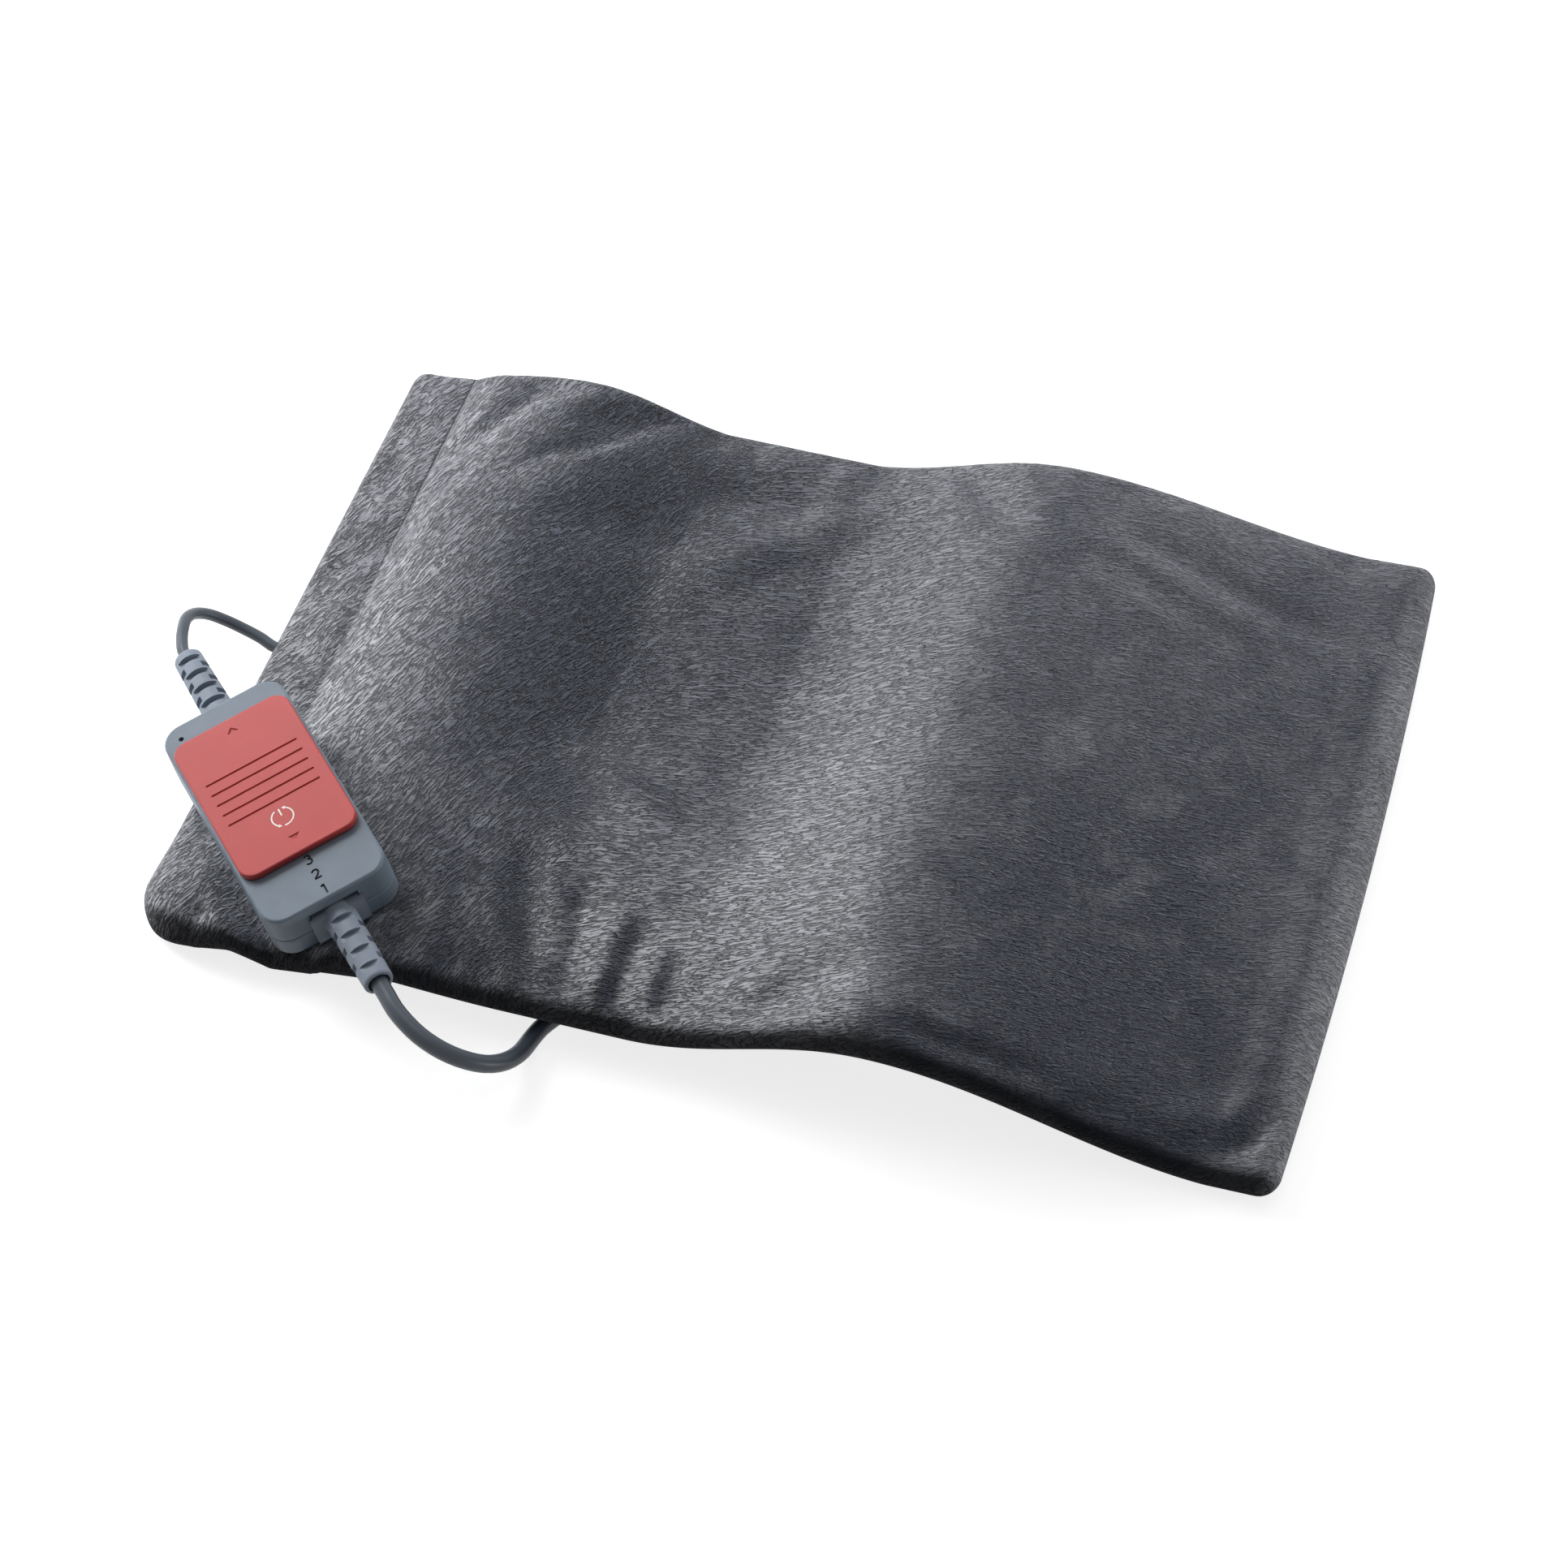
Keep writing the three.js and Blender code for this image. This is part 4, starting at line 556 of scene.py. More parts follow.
# %% [markdown]
# The controller's mouldings are smooth forms with small rounded edges, so each is built
# as a stack of rings: one outline, drawn in a little at every height. A closed stack is also
# a clean solid, which lets Boolean modifiers cut the cavity, the openings and the engraving.

# %% A block from stacked rings
SHARPEST = 0.05  # a corner of no radius at all would put points on one another
controller_matrix = Matrix.Translation(in_row_frame(CONTROLLER_PLACE)) @ controller_turned


def outline(width, length, corner, steps=10):
    """Points round a rectangle with round corners, anticlockwise."""
    x, y = width / 2 - corner, length / 2 - corner
    points = []
    for cx, cy, start in ((x, y, 0), (-x, y, 90), (-x, -y, 180), (x, -y, 270)):
        for angle in np.radians(np.linspace(start, start + 90, steps + 1)):
            points.append((cx + corner * math.cos(angle), cy + corner * math.sin(angle)))
    return np.array(points)


def fillet(inset, z, radius, side, steps=6):
    """Pairs of inset and height round an edge that ends in a face at z; side is 1 for the upper one."""
    angles = np.radians(np.linspace(0, 90, steps + 1))
    rings = [(inset + radius * (1 - math.cos(a)), z - side * radius * (1 - math.sin(a))) for a in angles]
    return rings if side > 0 else rings[::-1]


def band(low, high, count):
    """Faces between two closed rings of points that start at these numbers."""
    return [(low + i, low + (i + 1) % count, high + (i + 1) % count, high + i) for i in range(count)]


def ring_block(name, width, length, corner, rings, steps=10):
    """A closed block: one outline per pair of inset and height, from the lowest up."""
    verts = []
    for inset, z in rings:
        flat = outline(width - 2 * inset, length - 2 * inset, max(corner - inset, SHARPEST), steps)
        verts += [(x * MM, y * MM, z * MM) for x, y in flat]
    count = 4 * (steps + 1)
    faces = [tuple(range(count))[::-1]]
    for k in range(len(rings) - 1):
        faces += band(k * count, (k + 1) * count, count)
    faces.append(tuple(range(count * (len(rings) - 1), count * len(rings))))
    mesh = bpy.data.meshes.new(name)
    mesh.from_pydata(verts, [], faces)
    return in_scene(name, mesh)


# %% [markdown]
# The tools that cut holes are plain bars and boxes. Blender's bmesh makes both from one call each,
# and the bar can also lie along the cord, for the bore of a strain relief.

# %% Plain bars and boxes
def mesh_of(made, name):
    """Turns a bmesh into a mesh and lets the bmesh go."""
    mesh = bpy.data.meshes.new(name)
    made.to_mesh(mesh)
    made.free()
    return mesh


def round_block(name, size, low, centre=(0, 0), axis="Z"):
    """A plain round bar for a hole or a boss, along Z or along Y."""
    radius, length = size[0] * MM, size[1] * MM
    made = bmesh.new()
    bmesh.ops.create_cone(made, cap_ends=True, segments=40, radius1=radius, radius2=radius, depth=length)
    bmesh.ops.translate(made, verts=made.verts, vec=(0, 0, (low + size[1] / 2) * MM))
    shift = (centre[0] * MM, centre[1] * MM, 0)
    if axis == "Y":
        bmesh.ops.rotate(made, verts=made.verts, matrix=Matrix.Rotation(-math.pi / 2, 3, "X"))
        shift = (centre[0] * MM, 0, centre[1] * MM)
    bmesh.ops.translate(made, verts=made.verts, vec=shift)
    return in_scene(name, mesh_of(made, name))


def square_block(name, low, high):
    """A box from its low to its high corner, for openings."""
    made = bmesh.new()
    bmesh.ops.create_cube(made, size=1.0)
    for vert in made.verts:
        vert.co = Vector([(a + (b - a) * (c + 0.5)) * MM for a, b, c in zip(low, high, vert.co)])
    return in_scene(name, mesh_of(made, name))


def solid_from(name, verts, faces):
    """A closed piece whose faces are turned outwards, whatever order they were written in."""
    mesh = bpy.data.meshes.new(name)
    mesh.from_pydata(verts, [], faces)
    check = bmesh.new()
    check.from_mesh(mesh)
    bmesh.ops.recalc_face_normals(check, faces=check.faces)
    check.to_mesh(mesh)
    check.free()
    return in_scene(name, mesh)


# %% [markdown]
# Openings and engraving are cut with exact Booleans, and each result becomes the piece's plain mesh.
# Large flat faces beside small roundings shade badly, so the normals are weighted by face area.

# %% Boolean work and smooth shading
def carve(piece, tools, operation="DIFFERENCE"):
    """Cuts the tools out of the piece, or joins them to it, and removes them."""
    for tool in tools:
        step = piece.modifiers.new("carve", "BOOLEAN")
        step.operation = operation
        step.solver = "EXACT"
        step.object = tool
        shown = piece.evaluated_get(bpy.context.evaluated_depsgraph_get())
        mesh = bpy.data.meshes.new_from_object(shown)
        piece.modifiers.clear()
        piece.data = mesh
        bpy.data.objects.remove(tool)
    return piece


CRISP_ANGLE = math.radians(32)


def settle(piece, body, slot, *nodes):
    """Smooth faces with crisp edges, then the place on the controller and the body to ride on."""
    piece.data.polygons.foreach_set("use_smooth", [True] * len(piece.data.polygons))
    piece.data.set_sharp_from_angle(angle=CRISP_ANGLE)
    weighted = piece.modifiers.new("flat_faces_stay_flat", "WEIGHTED_NORMAL")
    weighted.keep_sharp = True
    piece.matrix_world = controller_matrix
    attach(piece, body)
    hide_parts(*nodes)
    print(piece.name, len(piece.data.polygons), "faces")
    return piece


# %% [markdown]
# The housing is two shells that meet at a parting line, with a hair of a gap and a broken edge.
# Both are hollow mouldings with bosses for the screws, a slot for the slider and a window at either end
# for the strain reliefs. A ring block gives the outside, and a second one is cut out of it as the hollow.

# %% Upper shell
LID_DRAFT = 0.3
WALL = 2.0
PARTING_GAP = 0.12  # on either side of the parting line
BROKEN_EDGE = (0.3, 0.35)  # inwards and upwards
BOSS_RADIUS = 3.0
SLOT = {"half": 7.0, "front": -30.4, "back": 18.1}
LAMP = {"radius": 1.1, "at": (-19, 49.7)}
WINDOW = {"half": 10.5, "middle": 56.5, "reach": 3.0, "low": 5.5, "high": 17.5}
OVERRUN = 2.0


def housing_block(name, rings):
    return ring_block(name, HOUSING["width"], HOUSING["length"], HOUSING["corner"], rings)


def end_windows():
    """The openings in both end walls, through which the cords come in."""
    return [
        square_block(
            "end_window",
            (-WINDOW["half"], end * WINDOW["middle"] - WINDOW["reach"], WINDOW["low"]),
            (WINDOW["half"], end * WINDOW["middle"] + WINDOW["reach"], WINDOW["high"]),
        )
        for end in (-1, 1)
    ]


lid_low = HOUSING["parting"] + PARTING_GAP
upper_rings = [(BROKEN_EDGE[0], lid_low), (0.0, lid_low + BROKEN_EDGE[1])]
upper_rings += fillet(LID_DRAFT, HOUSING["height"], HOUSING["fillet"], 1)
upper_shell = housing_block("upper_shell", upper_rings)
bosses_at = [(x * 22.4, y * 42.5) for x in (-1, 1) for y in (-1, 1)]
under_lid = HOUSING["height"] - 3
over_lid = HOUSING["height"] + 1
slot_low, slot_high = (-SLOT["half"], SLOT["front"], under_lid), (SLOT["half"], SLOT["back"], over_lid)
slot_opening = square_block("slot_opening", slot_low, slot_high)
lamp_hole = round_block("lamp_hole", (LAMP["radius"], 4), under_lid, LAMP["at"])
carve(upper_shell, [housing_block("hollow", [(WALL, lid_low - OVERRUN), (WALL, HOUSING["height"] - WALL)])])
carve(upper_shell, [round_block("boss", (BOSS_RADIUS, 11.5), lid_low, at) for at in bosses_at], "UNION")
carve(upper_shell, [slot_opening, lamp_hole, *end_windows()])

# %% [markdown]
# The heat settings 3, 2 and 1 are sunk into the lid. Each figure is drawn as one or two strokes,
# and every stroke becomes a small band that cuts into the shell, as an engraving tool would.

# %% Sunk figures
FIGURE_STROKE = 0.85
FIGURE_DEPTH = 0.8


def arc(radius, start, end, steps=24):
    angles = np.radians(np.linspace(start, end, steps))
    return [(radius * math.cos(a), radius * math.sin(a)) for a in angles]


def shifted(path, x, y):
    return [(px + x, py + y) for px, py in path]


def stroke_sides(path, width):
    """The two sides of a band along a path."""
    path = np.array(path)
    ahead = np.gradient(path, axis=0)
    ahead /= np.linalg.norm(ahead, axis=1)[:, None]
    side = np.stack([-ahead[:, 1], ahead[:, 0]], 1) * width / 2
    return path + side, path - side


def stroke_tool(path, top):
    """A solid band that sinks one stroke of a figure into the face at height top."""
    left, right = stroke_sides(path, FIGURE_STROKE)
    flat = [*left, *right[::-1]]
    count = len(flat)
    verts = [(x * MM, y * MM, h * MM) for h in (top - FIGURE_DEPTH, top + 1) for x, y in flat]
    faces = []
    for k in range(count // 2 - 1):
        low = (k, k + 1, count - 2 - k, count - 1 - k)
        faces += [low, tuple(i + count for i in low[::-1])]
    faces += [(k, k + count, (k + 1) % count + count, (k + 1) % count) for k in range(count)]
    return solid_from("stroke", verts, faces)


FIGURES = {  # strokes of each figure, about its own middle, in a box 3.2 wide and 4.9 high
    "1": [[(-1.0, 1.5), (-0.45, 1.8), (0.05, 2.35)], [(0.25, 2.45), (0.25, 0.0), (0.25, -2.45)]],
    "2": [
        shifted(arc(1.25, 165, -35, 12), 0.0, 1.05) + [(0.4, -0.5), (-1.15, -1.85)],
        [(-1.5, -2.0), (0.0, -2.0), (1.5, -2.0)],
    ],
    "3": [shifted(arc(1.1, 150, -88, 14), 0.0, 1.0), shifted(arc(1.3, 86, -152, 14), 0.0, -1.0)],
}
FIGURES_AT = {"3": -35.9, "2": -44.2, "1": -52.4}
FIGURES_ASIDE = -0.1
for figure, y in FIGURES_AT.items():
    strokes = [shifted(path, FIGURES_ASIDE, y) for path in FIGURES[figure]]
    carve(upper_shell, [stroke_tool(path, HOUSING["height"]) for path in strokes])
settle(upper_shell, "root", "housing_grey", "upper_housing")

# %% [markdown]
# The lower shell is a tray with bosses for the screws. It carries the board,
# and its walls have windows in which the strain reliefs are clamped.

# %% Lower shell
FLOOR_WALL = 2.4
BOSS_LOW = 1.2
WELL = {"radius": 2.5, "length": 3.0, "low": -1.5}
lower_high = HOUSING["parting"] - PARTING_GAP
lower_rings = fillet(0.0, 0.0, HOUSING["fillet"], -1)
lower_rings += [(0.0, lower_high - BROKEN_EDGE[1]), (BROKEN_EDGE[0], lower_high)]
lower_shell = housing_block("lower_shell", lower_rings)
carve(lower_shell, [housing_block("hollow", [(WALL, FLOOR_WALL), (WALL, lower_high + OVERRUN)])])
bosses = [round_block("boss", (BOSS_RADIUS, lower_high - BOSS_LOW), BOSS_LOW, at) for at in bosses_at]
carve(lower_shell, bosses, "UNION")
well_size = (WELL["radius"], WELL["length"])
carve(lower_shell, [round_block("screw_well", well_size, WELL["low"], at) for at in bosses_at])
carve(lower_shell, end_windows())
settle(lower_shell, "root", "housing_grey", "lower_housing")

# %% [markdown]
# The red plate slides over the lid to set the heat. It has five grip grooves with rounded ends
# and a sunk triangle at either end that points the way. All of them are shallow cuts,
# which catch a dark line on one side and a light one on the other.

# %% Slider plate
PLATE = {"width": 51.0, "length": 77.7, "low": 22.3, "high": 25.2, "corner": 6.5, "middle": 5.95}


def moved(piece, x, y):
    piece.data.transform(Matrix.Translation((x * MM, y * MM, 0)))
    return piece


plate_rings = fillet(0.0, PLATE["low"], 0.3, -1, 2) + fillet(0.0, PLATE["high"], 0.6, 1)
red_plate = ring_block("red_plate", PLATE["width"], PLATE["length"], PLATE["corner"], plate_rings)
moved(red_plate, 0, PLATE["middle"])

GROOVE = {"length": 40.5, "width": 1.0, "corner": 0.49, "depth": 0.6, "first": 18.6, "pitch": 5.8, "count": 5}
groove_rings = [(0.15, PLATE["high"] - GROOVE["depth"]), (0.0, PLATE["high"] - 0.75 * GROOVE["depth"])]
groove_rings.append((0.0, PLATE["high"] + 1))
for k in range(GROOVE["count"]):
    groove = ring_block("groove", GROOVE["length"], GROOVE["width"], GROOVE["corner"], groove_rings, 6)
    carve(red_plate, [moved(groove, 0, GROOVE["first"] - GROOVE["pitch"] * k)])


TRIANGLE = {"half": 2.6, "depth": 0.5, "floor_share": 0.55}
TRIANGLES_AT = ((40.1, 37.3), (-26.6, -23.8))  # tip and base of each, along the plate


def triangle_tool(tip, base_y, half):
    """A three-sided tool that narrows to its flat bottom, so that the sloped walls catch the light."""
    z, middle = PLATE["high"], (tip + 2 * base_y) / 3
    verts = []
    for height, share in ((z - TRIANGLE["depth"], TRIANGLE["floor_share"]), (z, 1.0), (z + 1, 1.0)):
        for x, y in ((0, tip), (-half, base_y), (half, base_y)):
            verts.append((x * share * MM, (middle + (y - middle) * share) * MM, height * MM))
    faces = [(0, 1, 2), (8, 7, 6)]
    for low in (0, 3):
        faces += [(low + k, low + 3 + k, low + 3 + (k + 1) % 3, low + (k + 1) % 3) for k in range(3)]
    return solid_from("triangle", verts, faces)


carve(red_plate, [triangle_tool(tip, base_y, TRIANGLE["half"]) for tip, base_y in TRIANGLES_AT])
settle(red_plate, "slider", "slider_red", "slider_plate")

# %% [markdown]
# The only print on the plate is a common sign for switching off by itself:
# two arrows in a circle round a short bar. Printed ink is a film, so these are flat ribbons
# that stand a few hundredths of a millimetre proud of the plate.

# %% Printed sign
def ribbon(path, width):
    """Corners and faces of a flat band along a path on the plate."""
    verts = [tuple(p) for pair in zip(*stroke_sides(path, width)) for p in pair]
    return verts, [(2 * k, 2 * k + 1, 2 * k + 3, 2 * k + 2) for k in range(len(path) - 1)]


HEAD = {"half": 0.8, "length": 1.4}


def arrow_head(angle, radius):
    """A triangle at the end of an arc, pointing anticlockwise."""
    a = math.radians(angle)
    out = np.array([math.cos(a), math.sin(a)])
    ahead = np.array([-math.sin(a), math.cos(a)])
    base = out * radius
    head = [base + out * HEAD["half"], base - out * HEAD["half"], base + ahead * HEAD["length"]]
    return [tuple(point) for point in head], [(0, 1, 2)]


INK = {"width": 0.6, "thickness": 0.04}
SIGN_MIDDLE = (-0.2, -13.4)
SIGN_RADIUS = 4.45
ARCS = ((-100, 56), (114, 228))  # degrees; each ends in an arrow head
shapes = [ribbon(arc(SIGN_RADIUS, start, end), INK["width"]) for start, end in ARCS]
shapes.append(ribbon([(0, 0.8), (0, 2.6), (0, 4.4)], INK["width"]))
shapes += [arrow_head(end, SIGN_RADIUS) for start, end in ARCS]
ink = bmesh.new()
for corners, faces in shapes:
    places = [(x + SIGN_MIDDLE[0], y + SIGN_MIDDLE[1], PLATE["high"]) for x, y in corners]
    made = [ink.verts.new([v * MM for v in place]) for place in places]
    for face in faces:
        ink.faces.new([made[k] for k in face])
bmesh.ops.recalc_face_normals(ink, faces=ink.faces)
lifted = bmesh.ops.extrude_face_region(ink, geom=list(ink.faces))
raised = [v for v in lifted["geom"] if isinstance(v, bmesh.types.BMVert)]
bmesh.ops.translate(ink, verts=raised, vec=(0, 0, INK["thickness"] * MM))
bmesh.ops.recalc_face_normals(ink, faces=ink.faces)
printed_sign = in_scene("printed_sign", mesh_of(ink, "printed_sign"))
printed_sign.matrix_world = controller_matrix
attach(printed_sign, "slider")

# %% [markdown]
# A strain relief spreads the bend of a cord over some length, so that it doesn't break at the wall.
# This one is a tapered sleeve with slots, cut in turn from above and below and from the sides.
# Its flange sits in a window of the housing, with an open gap above it.

# %% The sleeve of a strain relief
SLEEVE = {"wide": 6.8, "narrow": 6.05, "rounding": 1.2, "wall_inside": 2.2, "inside": -8.0, "round": 56}
SLEEVE_TIP = RELIEF_LENGTH - SLEEVE["rounding"]


def sleeve_block(name, cord_diameter, along):
    """A tapered tube round the cord, from inside the housing to its rounded tip."""
    bore = cord_diameter / 2 + CLEARANCE
    profile = [(SLEEVE["wide"], CLEARANCE), (SLEEVE["narrow"], SLEEVE_TIP)]
    for a in np.radians((30, 60, 90)):
        tip_y = SLEEVE_TIP + SLEEVE["rounding"] * math.sin(a)
        profile.append((SLEEVE["narrow"] - 0.7 * (1 - math.cos(a)), tip_y))
    profile += [(cord_diameter / 2 + 1.0, RELIEF_LENGTH), (bore, RELIEF_LENGTH - 4), (bore, SLEEVE["inside"])]
    profile.append((SLEEVE["wide"] - SLEEVE["wall_inside"], SLEEVE["inside"]))
    count = SLEEVE["round"]
    verts, faces = [], []
    for radius, y in profile:
        for k in range(count):
            a = 2 * math.pi * k / count
            verts.append((radius * math.cos(a) * MM, along(y) * MM, (CORD_AXIS + radius * math.sin(a)) * MM))
    for j in range(len(profile)):
        faces += band(j * count, (j + 1) % len(profile) * count, count)
    return solid_from(name, verts, faces)


# %% [markdown]
# The slots make the sleeve limp: each leaves only a web round the cord, and the webs alternate,
# so that it bends every way. The flange behind it is three plates, of which the middle one fills the window.
# Cutting and joining with Booleans keeps the whole relief one solid, like the one moulding it is.

# %% Slots, flange and the whole strain relief
RELIEF_SLOT = {"first": 7.6, "pitch": 4.325, "half": 1.5, "count": 7, "out": 14.0, "web": 0.9}


def relief_slots(cord_diameter, span):
    """Pairs of boxes, in turn beside the cord and below and above it."""
    keep = cord_diameter / 2 + CLEARANCE + RELIEF_SLOT["web"]
    out = RELIEF_SLOT["out"]
    slots = []
    for k in range(RELIEF_SLOT["count"]):
        middle = RELIEF_SLOT["first"] + RELIEF_SLOT["pitch"] * k
        y = span(middle - RELIEF_SLOT["half"], middle + RELIEF_SLOT["half"])
        for side in (-1, 1):
            near, far = sorted((side * keep, side * out))
            if k % 2:
                slots.append(square_block("slot", (near, y[0], -4), (far, y[1], 25)))
            else:
                low, high = (-out, y[0], CORD_AXIS + near), (out, y[1], CORD_AXIS + far)
                slots.append(square_block("slot", low, high))
    return slots


def strain_relief(name, cord_diameter, end, flange_depth, node_name):
    """A sleeve with its slots and flange; end is 1 at the controller's lamp and -1 at its other end."""

    def along(y):
        return end * half_housing + end * y

    def span(a, b):
        return (min(along(a), along(b)), max(along(a), along(b)))

    sleeve = sleeve_block(name, cord_diameter, along)
    carve(sleeve, relief_slots(cord_diameter, span))
    plates = (  # half width, from and to along the cord, low and high
        (11.5, span(CLEARANCE, flange_depth), 2.8, 15.2),
        (10.2, span(-3.5, 1.3), 5.8, 15.2),
        (11.5, span(-4.5, -2.3), 4.8, 18.5),
    )
    for half, (near, far), low, high in plates:
        plate = square_block("plate", (-half, near, low), (half, far, high))
        bore_size = (cord_diameter / 2 + CLEARANCE, 40)
        carve(plate, [round_block("bore", bore_size, span(-20, 20)[0], (0, CORD_AXIS), "Y")])
        carve(sleeve, [plate], "UNION")
    return settle(sleeve, "root", "relief_grey", node_name)


mains_relief = strain_relief("mains_sleeve", MAINS_DIAMETER, -1, 2.6, "mains_strain_relief")
lead_relief = strain_relief("lead_sleeve", LEAD_DIAMETER, 1, 2.0, "pad_strain_relief")

# %% [markdown]
# Moulded plastic is hardly ever one flat colour: it has a fine grain, a slight mottle,
# and a little polish where hands rub it. One helper builds that from noise in real millimetres,
# and each finish of the product then only names its own colour and grain.

# %% A helper for finishes
def node(tree, kind, place, **settings):
    made = tree.nodes.new(kind)
    made.location = place
    for key, value in settings.items():
        if key in made.inputs:
            made.inputs[key].default_value = value
        else:
            setattr(made, key, value)
    return made


def finish_with_grain(name, color, roughness, grain_mm=0.25, bump_mm=0.01, mottle=0.06, sockets=None):
    """A material with mottled colour, uneven gloss and a fine bump, all measured in object space."""
    material = bpy.data.materials.new(name)
    material.use_nodes = True
    tree = material.node_tree
    shader = tree.nodes["Principled BSDF"]
    where = node(tree, "ShaderNodeTexCoord", (-1100, 0))
    broad = node(tree, "ShaderNodeTexNoise", (-900, 200), Scale=1 / (14 * MM), Detail=3.0, Roughness=0.55)
    grain_scale = 1 / (grain_mm * 2 * MM)
    fine = node(tree, "ShaderNodeTexNoise", (-900, -100), Scale=grain_scale, Detail=2.0, Roughness=0.6)
    tree.links.new(where.outputs["Object"], broad.inputs["Vector"])
    tree.links.new(where.outputs["Object"], fine.inputs["Vector"])
    tint = node(tree, "ShaderNodeValToRGB", (-600, 200))
    low = [c * (1 - mottle) for c in color]
    high = [min(c * (1 + mottle), 1.0) for c in color]
    tint.color_ramp.elements[0].position = 0.35
    tint.color_ramp.elements[0].color = (*low, 1)
    tint.color_ramp.elements[1].position = 0.65
    tint.color_ramp.elements[1].color = (*high, 1)
    tree.links.new(broad.outputs["Fac"], tint.inputs["Fac"])
    tree.links.new(tint.outputs["Color"], shader.inputs["Base Color"])
    gloss = node(tree, "ShaderNodeMapRange", (-600, -50))
    gloss.inputs["To Min"].default_value = max(roughness - 0.05, 0.02)
    gloss.inputs["To Max"].default_value = min(roughness + 0.05, 1.0)
    tree.links.new(fine.outputs["Fac"], gloss.inputs["Value"])
    tree.links.new(gloss.outputs["Result"], shader.inputs["Roughness"])
    bump = node(tree, "ShaderNodeBump", (-300, -250), Strength=1.0, Distance=bump_mm * MM)
    tree.links.new(fine.outputs["Fac"], bump.inputs["Height"])
    tree.links.new(bump.outputs["Normal"], shader.inputs["Normal"])
    for key, value in (sockets or {}).items():
        shader.inputs[key].default_value = value
    return material


# %% [markdown]
# Plush looks dark where one looks down into its pile and light where its fibres lean over.
# A shader has no fibres, but it knows the slope and the place of every point, and with noise
# these say which way the pile lies. The same steps also paint light and shade into the colour.
# Three helpers keep the steps short to write.

# %% Three helpers for plush
def remapped(tree, source, low, high, to_low, to_high, place):
    """A smooth step from one value to another."""
    step = node(tree, "ShaderNodeMapRange", place, interpolation_type="SMOOTHSTEP")
    for key, value in (("From Min", low), ("From Max", high), ("To Min", to_low), ("To Max", to_high)):
        step.inputs[key].default_value = value
    tree.links.new(source, step.inputs["Value"])
    return step.outputs["Result"]


def combined(tree, operation, first, second, place):
    """One sum on two values, each of them a socket or a plain number."""
    made = node(tree, "ShaderNodeMath", place, operation=operation)
    for socket, value in zip(made.inputs, (first, second)):
        if isinstance(value, float):
            socket.default_value = value
        else:
            tree.links.new(value, socket)
    return made.outputs["Value"]


def cloudy(tree, source, millimetres, place, detail=2.0, roughness=0.5, distortion=0.0):
    """Noise whose features are about so many millimetres wide."""
    noise = node(tree, "ShaderNodeTexNoise", place, Scale=1 / (millimetres * MM), Distortion=distortion)
    noise.inputs["Detail"].default_value = detail
    noise.inputs["Roughness"].default_value = roughness
    tree.links.new(source, noise.inputs["Vector"])
    return noise


# %% [markdown]
# Some areas are painted lighter: along the hem at the mouth, near the low lamp on the left,
# over the back of the far end, along the back edge, which faces the strip light behind,
# and in a few smudges past the main wave. This is partly pile laid over by brushing and partly painted light.
# Each area is a smooth step in x or y, in metres from the model's origin, which is easier to move about than
# a painted mask.

# %% Brushing and painted light on the pile
def brushed_and_lit_pile(tree, everywhere, x, y):
    """How much lighter the pile is painted, for brushing and for painted light."""
    near_mouth = remapped(tree, x, -0.04, -0.14, 0.0, 0.08, (-1600, 250))
    # Partly painted light: the hem is nearest the low lamp on the left.
    hem = remapped(tree, x, -0.150, -0.215, 0.0, 0.70, (-1600, 300))
    hem = combined(tree, "ADD", hem, near_mouth, (-1500, 300))

    far_end = remapped(tree, x, 0.06, 0.14, 0.0, 1.0, (-1600, 750))
    to_back = remapped(tree, y, -0.04, 0.17, 0.0, 0.11, (-1600, 900))
    before_end = remapped(tree, x, 0.200, 0.150, 0.0, 1.0, (-1600, 680))
    past_middle = remapped(tree, y, -0.06, 0.05, 0.0, 0.13, (-1600, 820))
    # Painted highlight along the back edge, which faces the lamp behind.
    lit_back_edge = remapped(tree, y, 0.105, 0.155, 0.0, 0.09, (-1600, 860))
    stroked = combined(tree, "MULTIPLY", far_end, before_end, (-1450, 680))
    stroked = combined(tree, "MULTIPLY", stroked, past_middle, (-1400, 780))
    brushed_and_lit_end = combined(tree, "MULTIPLY", far_end, to_back, (-1400, 700))
    brushed_and_lit_end = combined(tree, "ADD", brushed_and_lit_end, stroked, (-1350, 760))
    brushed_and_lit_end = combined(tree, "ADD", brushed_and_lit_end, lit_back_edge, (-1300, 800))

    smudges = cloudy(tree, everywhere, 24, (-2200, 800), detail=3.0, roughness=0.6, distortion=0.6)
    smudged = remapped(tree, smudges.outputs["Fac"], 0.47, 0.66, 0.0, 0.17, (-2000, 800))
    past_crest = remapped(tree, x, 0.030, 0.080, 0.0, 1.0, (-2000, 950))
    off_front = remapped(tree, y, -0.13, -0.03, 0.1, 1.0, (-2000, 1100))
    allowed = combined(tree, "MULTIPLY", past_crest, off_front, (-1850, 1000))
    smudged = combined(tree, "MULTIPLY", smudged, allowed, (-1750, 900))
    brushed_and_lit_end = combined(tree, "ADD", brushed_and_lit_end, smudged, (-1250, 850))
    return combined(tree, "MAXIMUM", hem, brushed_and_lit_end, (-1400, 500))
